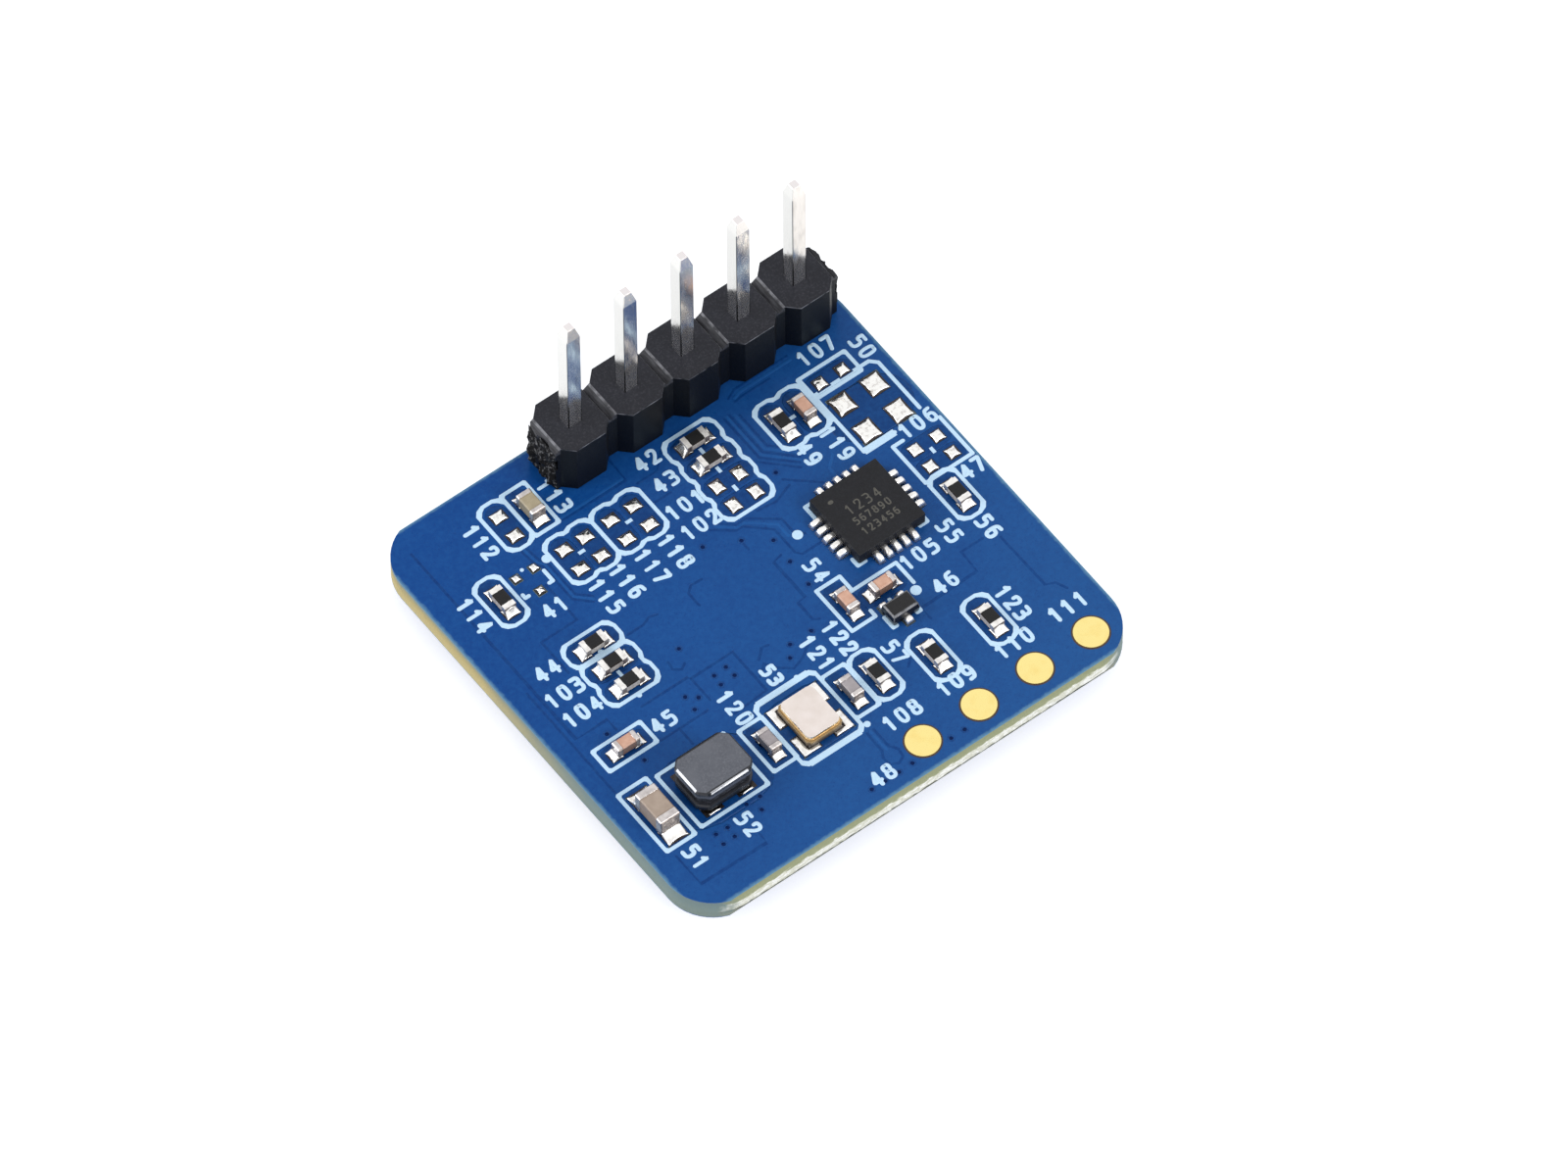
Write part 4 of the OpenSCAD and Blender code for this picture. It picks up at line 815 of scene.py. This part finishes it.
# The microcontroller's marking: rows of plain numerals in counting order, and a dot
MCU_X, MCU_Y, MCU_TOP = 5.15, 0.14, 2.6
MARKING_W, MARKING_T, DOT_W = 0.06, 0.004, 0.16
marking = Shape()
for text, row_y, height in (("1234", 0.3, 0.4), ("567890", -0.25, 0.28), ("123456", -0.76, 0.28)):
    number_row(marking, text, MCU_X + 0.02, MCU_Y + row_y, height, MARKING_W, MCU_TOP, MARKING_T)
stroke(marking, [(MCU_X - 0.98, MCU_Y + 0.95), (MCU_X - 0.92, MCU_Y + 0.95)], DOT_W, MCU_TOP, MARKING_T)
marking.piece("mcu_marking", CHIP_PRINT, "white_print")


# COPPER PATTERN UNDER THE MASK

# Gaps in the copper show as darker lines. Each row is x, y, x, y and so on
GAPS = [
    [-8.95, 8.8, -8.95, -1.12, -7.56, -1.12, -7.56, -1.66],
    [-5.87, 4.8, -5.87, 2.94, -7.47, 2.94, -7.47, 1.31],
    [-5.72, 6.5, -5.66, 5.8, -5.47, 5.5, -5.47, 3.75, -4.94, 3.19],
    [-5.5, 6.4, -5.42, 5.8, -5.27, 5.5, -5.27, 3.85, -4.8, 3.4],
    [-3.69, 6.66, -0.87, 6.66, -0.81, 8.0],
    [-0.62, 6.29, 0.3, 6.29, 0.9, 6.9],
    [-0.6, 5.25, 0.1, 5.25],
    [-4.81, 1.31, -4.1, 1.31, -3.75, 1.45, -3.44, 1.36],
    [-2.0, 0.75, -2.0, 1.4, -1.72, 1.62, -1.25, 1.6],
    [0.25, 3.1, 1.0, 2.5, 1.3, 2.5, 2.12, 1.7, 2.12, 0.45, 2.3, 0.25, 3.1, 0.25],
    [0.7, 3.1, 1.15, 2.7, 1.6, 2.7, 2.6, 1.9, 2.6, 1.2, 2.9, 0.9],
    [2.1, 2.72, 2.9, 2.62, 3.7, 2.9],
    [3.55, 6.6, 3.55, 4.5, 4.6, 3.45],
    [3.8, 6.6, 3.8, 4.62, 4.75, 3.65],
    [4.1, 6.4, 4.1, 4.75, 4.95, 3.9],
    [3.38, 4.4, 4.5, 3.25],
    [3.65, 3.25, 4.75, 2.25],
    [4.2, 7.2, 4.6, 7.4, 7.0, 7.4],
    [4.3, 6.95, 4.7, 7.0, 5.9, 7.0],
    [1.65, 0.69, 1.25, 0.6, 1.25, -1.28, 0.9, -1.3, 0.88, -2.2, 1.1, -2.33],
    [0.86, 2.1, 0.86, 1.6],
    [-6.25, -1.44, -4.19, -1.44, -4.12, -1.56, -2.25, -1.56, -2.25, -3.6, -3.75, -3.7],
    [-4.12, -1.56, -4.12, -2.7],
    [-6.56, -3.0, -4.44, -3.0],
    [-5.73, -3.0, -5.73, -3.8],
    [-9.06, -7.25, -9.06, -8.7, -6.15, -8.75, -6.12, -8.3],
    [-1.7, -2.4, -1.3, -2.05, -1.05, -2.1],
    [-2.1, -3.0, -1.65, -2.65, -1.35, -3.1, -0.9, -3.45, -0.4, -3.3, 0.1, -2.95],
    [-0.5, -7.25, -0.52, -8.15, -0.68, -8.45, -0.62, -8.8, -0.34, -8.95,
     -0.05, -8.8, 0.0, -8.45, -0.2, -8.15, -0.2, -7.25],
    [-4.35, -0.5, -4.4, -0.85, -4.15, -1.05, -3.9, -0.9],
    [7.87, -3.15, 6.9, -3.15, 6.85, -4.15, 4.32, -4.2, 4.3, -4.75],
    [8.42, -3.5, 8.45, -6.1, 8.8, -6.25, 9.0, -6.7],
    [2.4, -5.9, 2.9, -5.45],
    [-9.2, 1.5, -9.2, -6.5],
]
# Tracks under the mask show a little lighter
TRACKS = [
    [-5.6, 6.45, -5.55, 5.8, -5.37, 5.5, -5.37, 3.8, -4.87, 3.3],
    [-3.69, 6.78, -0.95, 6.78],
    [0.5, 3.1, 1.08, 2.6, 1.45, 2.6, 2.36, 1.8, 2.36, 1.2],
    [3.67, 6.6, 3.67, 4.56, 4.68, 3.55],
    [3.95, 6.5, 3.95, 4.68, 4.85, 3.78],
    [4.4, 7.1, 4.7, 7.2, 7.0, 7.2],
    [-0.35, -7.25, -0.35, -8.2],
    [5.75, 3.0, 5.3, 2.6, 5.3, 2.3],
]
GAP_W, TRACK_W, RELIEF = 0.1, 0.12, 0.003
# Where there is no copper under a part, the mask is darker: (the place across, from, to, width)
CLEARINGS_ALONG_Y = [
    (-7.58, 4.55, 5.75, 1.0), (5.05, 4.5, 5.7, 0.9), (8.28, -1.75, -0.55, 1.0),
    (1.27, -6.15, -4.9, 0.95), (3.41, -6.75, -5.5, 1.0), (5.94, -6.75, -5.5, 1.0),
    (-4.38, 7.1, 8.3, 0.9), (-8.58, -6.3, -4.7, 1.3), (2.24, -3.1, -1.85, 1.0), (6.04, 4.5, 5.7, 0.9),
    (-3.61, -6.15, -4.9, 0.95), (0.1, -6.15, -4.9, 0.95), (-5.5, 7.1, 8.25, 0.9),
    (-4.46, 4.5, 5.7, 0.9), (-3.52, 4.5, 5.7, 0.9), (-2.36, 4.5, 5.7, 0.9), (-1.34, 4.5, 5.7, 0.9),
]
CLEARINGS_ALONG_X = [
    (1.65, -6.7, -5.4, 1.0), (0.6, -6.6, -5.4, 0.9), (-0.41, -6.6, -5.4, 0.9), (6.42, 1.5, 2.7, 0.9),
    (5.41, 1.5, 2.7, 0.9), (-2.5, -8.35, -7.15, 0.9), (-2.69, 3.1, 4.25, 0.9), (4.41, 1.5, 2.7, 0.9),
    (3.42, 1.5, 2.7, 0.9), (5.72, 7.1, 8.3, 0.9), (1.33, 8.1, 9.35, 0.85), (0.43, 8.1, 9.35, 0.85),
    (-5.54, -2.4, -1.1, 2.6), (-5.53, -6.9, -5.3, 3.2), (3.77, 7.5, 8.6, 2.4),
]


def mask_pattern(name, lines, relief, look):
    """A piece of thin strokes on the board's top, each as (row of numbers, width)."""
    shape = Shape()
    for row, width in lines:
        stroke(shape, list(zip(row[::2], row[1::2])), width, BOARD_TOP, relief)
    shape.piece(name, look, "blue_mask")


clearings = [((x, low, x, high), width) for x, low, high, width in CLEARINGS_ALONG_Y] \
    + [((low, y, high, y), width) for y, low, high, width in CLEARINGS_ALONG_X]
mask_pattern("mask_clearings", clearings, RELIEF * 0.6, CLEARING)
mask_pattern("mask_gap_lines", [(row, GAP_W) for row in GAPS], RELIEF, TRACK_GAP)
mask_pattern("mask_tracks", [(row, TRACK_W) for row in TRACKS], RELIEF, TRACK)

# Vias: small holes under the mask, as a raised lip round a dark dip
VIAS = [
    (-0.4, 2.67), (0.88, 2.04), (1.81, 1.35), (1.73, 0.26), (3.64, 3.62), (1.68, -0.92),
    (-7.94, -1.61), (-7.53, -3.31), (-4.76, -2.06), (-4.39, -2.37), (-4.81, -2.69), (-3.38, -1.97),
    (-2.83, -1.93), (-3.42, -2.42), (-2.79, -2.4), (-3.7, -0.28), (-0.41, -2.56), (0.55, -2.56),
    (-0.76, -3.02), (-5.75, -7.02), (-5.16, -7.04), (-5.45, -7.53), (-7.38, -7.37), (-6.88, -7.39),
    (-7.41, -7.86), (-6.9, -7.84), (-1.8, -9.24), (-1.21, -9.25), (-0.58, -9.25), (0.03, -9.24),
    (1.78, -9.24), (2.39, -9.24),
]
# Profiles from the outside inward, as (radius, height)
VIA_LIP = [(0.15, 0.0), (0.14, 0.003), (0.11, 0.007), (0.08, 0.006), (0.06, 0.001)]
VIA_DIP = [(0.085, 0.0), (0.08, 0.0065), (0.04, 0.003)]


def via_look(name, colour, light, grain, roughness, specular):
    """Mask over a via: its lip catches light, and its dip is nearly black."""
    look = Look(name, colour, roughness=roughness, specular=specular)
    look.paint(look.clouded(colour, light, grain, 2, 0.35, 0.75))
    return look


def lathe(shape, x, y, profile, sides=20):
    """Turns a profile round an upright axis that stands on the board's top."""
    turns = [2 * math.pi * k / sides for k in range(sides)]
    shape.rings([
        [(x + r * math.cos(a), y + r * math.sin(a), BOARD_TOP + h) for a in turns] for r, h in profile
    ])


lips, dips = Shape(), Shape()
for x, y in VIAS:
    lathe(lips, x, y, VIA_LIP)
    lathe(dips, x, y, VIA_DIP)
lips.piece("via_lips", via_look("mask_over_via", (6, 56, 118), (24, 82, 148), 0.06, 0.28, 0.2), "blue_mask")
dips.piece("via_dips", via_look("via_dip", (0, 17, 58), (2, 44, 106), 0.05, 0.6, 0.1), "blue_mask")


# SOLDER

def placed(x, y, turned, points):
    """Moves points of a part that lies along X to its place, turned by a quarter if asked."""
    return [(x - v, y + u, w) if turned else (x + u, y + v, w) for u, v, w in points]


PILLOW_STEPS = 12
PINCH = 0.2
CURD = 0.13
SMOOTH_CURD = 0.3
MOST_UNEVEN = 0.027


def uneven(points, weights, depth, size):
    """Lifts or drops points of solder a little, as it froze, by their weights."""
    return [
        (px, py, pz + depth * weight * noise.noise(Vector((px, py, 0)) / size))
        for (px, py, pz), weight in zip(points, weights)
    ]


def pillow(shape, x, y, turned, l, w, h, middle=0.0, pinch=PINCH, side_pinch=PINCH, curd=CURD, fullness=2):
    """Solder on one land, middle millimetres along its part: full in the middle, with an
    outline that draws in between its corners. A higher fullness flattens its top."""
    varied = 1 + 0.7 * noise.noise(Vector((x + middle, y, 3.3)) / 0.9)
    pinch *= varied
    side_pinch *= varied
    rows = []
    for i in range(PILLOW_STEPS + 1):
        u = 2 * i / PILLOW_STEPS - 1
        row, swells = [], []
        for j in range(PILLOW_STEPS + 1):
            v = 2 * j / PILLOW_STEPS - 1
            draw_u = 1 - pinch * (1 - v * v) * u * u
            draw_v = 1 - side_pinch * (1 - u * u) * v * v
            swell = (max(1 - abs(u) ** fullness, 0) * max(1 - abs(v) ** fullness, 0)) ** 0.5
            row.append((middle + l / 2 * u * draw_u, w / 2 * v * draw_v, LAND_TOP + h * swell))
            swells.append(min(3 * swell, 1) if swell else 0)
        rows.append(uneven(placed(x, y, turned, row), swells, min(h * 0.3, MOST_UNEVEN), curd))
    shape.grid(flipped(rows[::-1] if turned else rows))


# Places that were left empty, as (x, y, turned)
EMPTY_RESISTORS = [
    (-5.5, 7.66, True), (-4.46, 5.09, True), (-3.52, 5.09, True), (-2.36, 5.1, True),
    (-1.34, 5.1, True), (2.07, 4.41, False), (2.07, 3.42, False),
]
EMPTY_CAPACITORS = [(7.73, 5.72, False), (8.74, 1.33, False), (8.74, 0.43, False)]
EMPTY_CRYSTAL = (8.07, 3.77)
EMPTY_TRANSISTOR = (-6.18, 5.19)
MOUND_H = 0.09
LAND_L = LAND_HEEL + LAND_TOE
# Places of a crystal's four lands and a transistor's three, in steps from its middle
CORNERS = [(-1, -1), (-1, 1), (1, -1), (1, 1)]
TRANSISTOR_LEADS = [(-1, 1), (1, 1), (0, -1)]
CRYSTAL_STEP, TRANSISTOR_STEP = 0.72, 0.4

empties = Shape()
for places, width in ((EMPTY_RESISTORS, RESISTOR_LAND_W), (EMPTY_CAPACITORS, CAPACITOR_LAND_W)):
    for x, y, turned in places:
        for end in (-1, 1):
            middle = end * (CHIP_L + LAND_TOE - LAND_HEEL) / 2
            pillow(empties, x, y, turned, LAND_L, width, MOUND_H, middle)
x, y = EMPTY_CRYSTAL
for sx, sy in CORNERS:
    pillow(empties, x + sx * CRYSTAL_STEP, y + sy * CRYSTAL_STEP, False, 0.82, 0.91, MOUND_H)
x, y = EMPTY_TRANSISTOR
for sx, sy in TRANSISTOR_LEADS:
    pillow(empties, x + sx * TRANSISTOR_STEP, y + sy * 0.46, False, 0.32, 0.32, MOUND_H)
bare_solder = empties.piece("land_pillows", SOLDER, "solder")
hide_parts("empty_land_solder")

FILLET_STEPS = 10
FILLET_DIP = 0.004
FILLET_UNEVEN = 0.03
FILLET_SHARE = 0.98
FILLET_WAIST = 0.94
BASE_T = 0.02
TOE_T = 0.024
# How a joint climbs its chip, near the header's side and away from it: (share of the chip's
# height, how hollow it is)
RESISTOR_CLIMBS = {-1: (0.78, 1.4), 1: (0.42, 2.2)}
CAPACITOR_CLIMBS = {-1: (0.3, 1.8), 1: (0.3, 2.4)}


def fillet(shape, x, y, turned, end, chip_l, chip_w, land_w, toe, rise, curve):
    """Solder that climbs one end of a chip part from its land, hollow-sided, and spreads out."""
    rows = []
    for i in range(FILLET_STEPS + 1):
        out = i / FILLET_STEPS
        up = (1 - out) ** curve
        row = []
        for j in range(FILLET_STEPS + 1):
            t = 2 * j / FILLET_STEPS - 1
            reach = toe * (1 - PINCH * (1 - t * t) * out) * out
            height = TOE_T + (SOLDER_T + rise * (1 - 0.3 * t * t) - TOE_T) * up
            half = chip_w / 2 + (land_w - chip_w) / 2 * out ** 1.5
            row.append((end * (chip_l / 2 - FILLET_DIP + reach), half * t, LAND_TOP + height))
        rows.append(row)
    weights = [0.0] + [math.sin(math.pi * (j + 0.5) / FILLET_STEPS) for j in range(FILLET_STEPS - 1)] + [0.0]
    rows = [uneven(placed(x, y, turned, row), weights, FILLET_UNEVEN, SMOOTH_CURD) for row in rows]
    shape.block(rows if end > 0 else flipped(rows), LAND_TOP)


LARGE_CAPACITOR, LARGE_TOE = "capacitor_2", 0.48
joints = Shape()
for node in RESISTORS + CAPACITORS:
    middle, size, turned = chip_span(node)
    toe = LARGE_TOE if node == LARGE_CAPACITOR else LAND_TOE
    land_w = RESISTOR_LAND_W if node in RESISTORS else max(size.y, CAPACITOR_LAND_W)
    for end in (-1, 1):
        base_mid = end * (size.x / 2 + (toe - LAND_HEEL) / 2)
        pillow(joints, middle.x, middle.y, turned, LAND_HEEL + toe, land_w, BASE_T, base_mid,
               side_pinch=0.12, curd=SMOOTH_CURD, fullness=8)
        climb, curve = (RESISTOR_CLIMBS if node in RESISTORS else CAPACITOR_CLIMBS)[end]
        fillet(joints, middle.x, middle.y, turned, end, size.x, size.y * FILLET_WAIST, land_w * FILLET_SHARE,
               toe * FILLET_SHARE, size.z * climb, curve)
chip_solder = joints.piece("chip_fillets", JOINT, "solder")
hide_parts("chip_part_solder")

# Solder that has wetted the larger parts' lands, laid over the thin CAD layer
CRYSTAL_X, CRYSTAL_Y = -1.77, -5.54
INDUCTOR_X, INDUCTOR_Y = -6.1, -5.53
TRANSISTOR_X, TRANSISTOR_Y = 3.6, -3.86
FLAT = {"pinch": 0.05, "side_pinch": 0.05, "curd": SMOOTH_CURD, "fullness": 4}
ON_LEAD = {"pinch": 0, "side_pinch": 0, "curd": SMOOTH_CURD, "fullness": 4}
wetted = Shape()
for sx, sy in CORNERS:
    pillow(wetted, CRYSTAL_X + sx * 0.962, CRYSTAL_Y + sy * CRYSTAL_STEP, False, 0.32, 0.9, 0.06, **FLAT)
    pillow(wetted, CRYSTAL_X + sx * CRYSTAL_STEP, CRYSTAL_Y + sy * 1.08, False, 0.8, 0.18, 0.05, **FLAT)
for sx, sy in TRANSISTOR_LEADS:
    pillow(wetted, TRANSISTOR_X + sx * TRANSISTOR_STEP, TRANSISTOR_Y + sy * 0.48, False, 0.35, 0.34, 0.26,
           **{**ON_LEAD, "fullness": 3.5})
wetted.piece("wetted_solder", JOINT, "solder")
streaks = Shape()
for sx in (-1, 1):
    pillow(streaks, INDUCTOR_X + sx * 0.73, INDUCTOR_Y - 1.06, False, 0.58, 0.08, 0.05, side_pinch=0.1)
streaks.piece("inductor_solder_streaks", SOLDER, "solder")

MCU_HALF, LEADS_A_SIDE, LEAD_PITCH = 1.5, 5, 0.4
LEAD_OUT = MCU_HALF + 0.19
BLOB_L, BLOB_W, BLOB_H = 0.6, 0.28, 0.28
blobs = Shape()
for place in range(LEADS_A_SIDE):
    along = (place - (LEADS_A_SIDE - 1) / 2) * LEAD_PITCH
    for side in (-1, 1):
        pillow(blobs, MCU_X + side * LEAD_OUT, MCU_Y + along, False, BLOB_L, BLOB_W, BLOB_H, **ON_LEAD)
        pillow(blobs, MCU_X + along, MCU_Y + side * LEAD_OUT, False, BLOB_W, BLOB_L, BLOB_H, **ON_LEAD)
blob_piece = blobs.piece("mcu_blobs", JOINT, "solder")
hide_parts("mcu_solder")

# A dark line of flux round each gold test pad
PAD_COUNT, PAD_PITCH = 4, 2.54
PAD_X, PAD_Y, PAD_R = 8.52, -8.72, 0.66
FLUX_RING = [(PAD_R + 0.07, 0.0), (PAD_R + 0.06, 0.006), (PAD_R + 0.01, 0.006), (PAD_R + 0.005, 0.0)]
flux_rings = Shape()
for place in range(PAD_COUNT):
    lathe(flux_rings, PAD_X - place * PAD_PITCH, PAD_Y, FLUX_RING, sides=48)
flux_rings.piece("pad_flux_rings", FLUX, "resin")


# RAGGED BREAKS

NECK_HALF = 0.2
FLAT_HALF = 0.83
BREAK_H = HOUSING_H - 0.2
BREAK_DEPTH = 0.16
BREAK_GAP = 0.012
BREAK_ACROSS, BREAK_UP = 22, 30
BREAK = break_look()


def ragged_face(name, x, out, seed):
    """A broken end of the housing, seen along X: a rough sheet over the neck's end."""
    draw = random.Random(seed)
    rows = []
    for j in range(BREAK_UP + 1):
        row = []
        for i in range(BREAK_ACROSS + 1):
            u, v = 2 * i / BREAK_ACROSS - 1, j / BREAK_UP
            inside = min(1, (1 - abs(u)) * 6, v * 8, (1 - v) * 8)
            spot = Vector((u * FLAT_HALF, v * BREAK_H, seed))
            lump = 1.1 * noise.noise(spot / 0.42) + 0.7 * noise.noise(spot / 0.16)
            lump += draw.uniform(-0.25, 0.25)
            jag = lump * BREAK_DEPTH * max(inside, 0)
            row.append((x + out * (BREAK_GAP + max(jag + BREAK_DEPTH * 0.5 * inside, 0)),
                        HEADER_Y + u * FLAT_HALF, LAND_TOP + v * BREAK_H))
        rows.append(row)
    shape = Shape()
    shape.grid(rows if out > 0 else flipped(rows))
    shape.piece(name, BREAK, "black_moulding")


last_pin_x = HEADER_X + (PIN_COUNT - 1) * HEADER_PITCH
ragged_face("housing_break_left", HEADER_X - SEGMENT_L / 2 - NECK_HALF, -1, 3)
ragged_face("housing_break_right", last_pin_x + SEGMENT_L / 2 + NECK_HALF, 1, 5)


# CAMERA: the photograph's view, solved from the photo's own points

PHOTO_W, PHOTO_H = 1600, 1200
FOCAL_PX = 20000.0
AZIMUTH, ELEVATION, ROLL = -36.79, 57.38, -0.47
CENTRE_PX = (771.57, 603.11)
PX_PER_MM = 28.306
SENSOR_W = 36.0
NEAREST_M, FARTHEST_M = 0.05, 20

a, e, r = math.radians(AZIMUTH), math.radians(ELEVATION), math.radians(ROLL)
back = Vector((math.sin(a) * math.cos(e), -math.cos(a) * math.cos(e), math.sin(e)))
level = Vector((math.cos(a), math.sin(a), 0))
upward = back.cross(level)
right = level * math.cos(r) + upward * math.sin(r)
up = upward * math.cos(r) - level * math.sin(r)
distance = FOCAL_PX / PX_PER_MM
shift_x = (CENTRE_PX[0] - PHOTO_W / 2) / FOCAL_PX * distance
shift_y = -(CENTRE_PX[1] - PHOTO_H / 2) / FOCAL_PX * distance
target = Vector((0, 0, BOARD_TOP))

camera_data = bpy.data.cameras.new("camera")
camera_data.sensor_width = SENSOR_W
camera_data.lens = FOCAL_PX / PHOTO_W * SENSOR_W
camera_data.clip_start = NEAREST_M
camera_data.clip_end = FARTHEST_M
camera = bpy.data.objects.new("camera", camera_data)
bpy.context.scene.collection.objects.link(camera)
camera.location = (target - right * shift_x - up * shift_y + back * distance) * MM
camera.rotation_mode = "QUATERNION"
camera.rotation_quaternion = Matrix((right, up, back)).transposed().to_quaternion()
bpy.context.scene.camera = camera


# FLOOR, WORLD AND LIGHTS, sized in metres

def seen_rays(tree):
    """1 for a ray from the camera and for one mirrored or let through, otherwise 0."""
    kinds = add_node(tree, "LightPath").outputs
    through = add_math(tree, "MAXIMUM", kinds["Is Glossy Ray"], kinds["Is Transmission Ray"])
    return add_math(tree, "MAXIMUM", kinds["Is Camera Ray"], through)


FLOOR_HALF = 1.5
FLOOR_TINT = (236, 238, 242)
FLOOR_LIFT = 0.5

floor_mesh = bpy.data.meshes.new("floor")
corners = ((-1, -1), (1, -1), (1, 1), (-1, 1))
floor_mesh.from_pydata([(x * FLOOR_HALF, y * FLOOR_HALF, 0) for x, y in corners], [], [(0, 1, 2, 3)])
floor = bpy.data.objects.new("floor", floor_mesh)
bpy.context.scene.collection.objects.link(floor)
floor_look = Look("floor", FLOOR_TINT, roughness=0.9, specular=0.0)
floor_look.paint(floor_look.mix(floor_look.noise(200.0, 3.0), FLOOR_TINT, (234, 237, 242)))
floor_look.set("Emission Color", (1, 1, 1, 1))
floor_look.link(floor_look.times(seen_rays(floor_look.tree), FLOOR_LIFT), "Emission Strength")
floor_mesh.materials.append(floor_look.material)

AMBIENT = 0.74

world = bpy.data.worlds.new("studio")
bpy.context.scene.world = world
world.use_nodes = True
world_tree = world.node_tree
background = world_tree.nodes["Background"]
background.inputs["Color"].default_value = (1, 1, 1, 1)
ambient = add_node(world_tree, "MapRange", Value=seen_rays(world_tree), To_Min=AMBIENT, To_Max=1.0)
world_tree.links.new(ambient.outputs["Result"], background.inputs["Strength"])

LAMP_DISTANCE, LAMP_SIZE, LAMP_POWER = 0.6, 0.3, 1.4


def softbox(name, toward):
    """A square area light that looks at the module from the given direction."""
    data = bpy.data.lights.new(name, "AREA")
    data.shape = "SQUARE"
    data.size = LAMP_SIZE
    data.energy = LAMP_POWER
    lamp = bpy.data.objects.new(name, data)
    direction = Vector(toward).normalized()
    lamp.location = direction * LAMP_DISTANCE
    lamp.rotation_mode = "QUATERNION"
    lamp.rotation_quaternion = direction.to_track_quat("Z", "Y")
    bpy.context.scene.collection.objects.link(lamp)


softbox("left", (-0.84, 0.43, 0.4))
softbox("front", (0.32, -0.84, 0.5))

bpy.context.scene.view_settings.view_transform = "Standard"
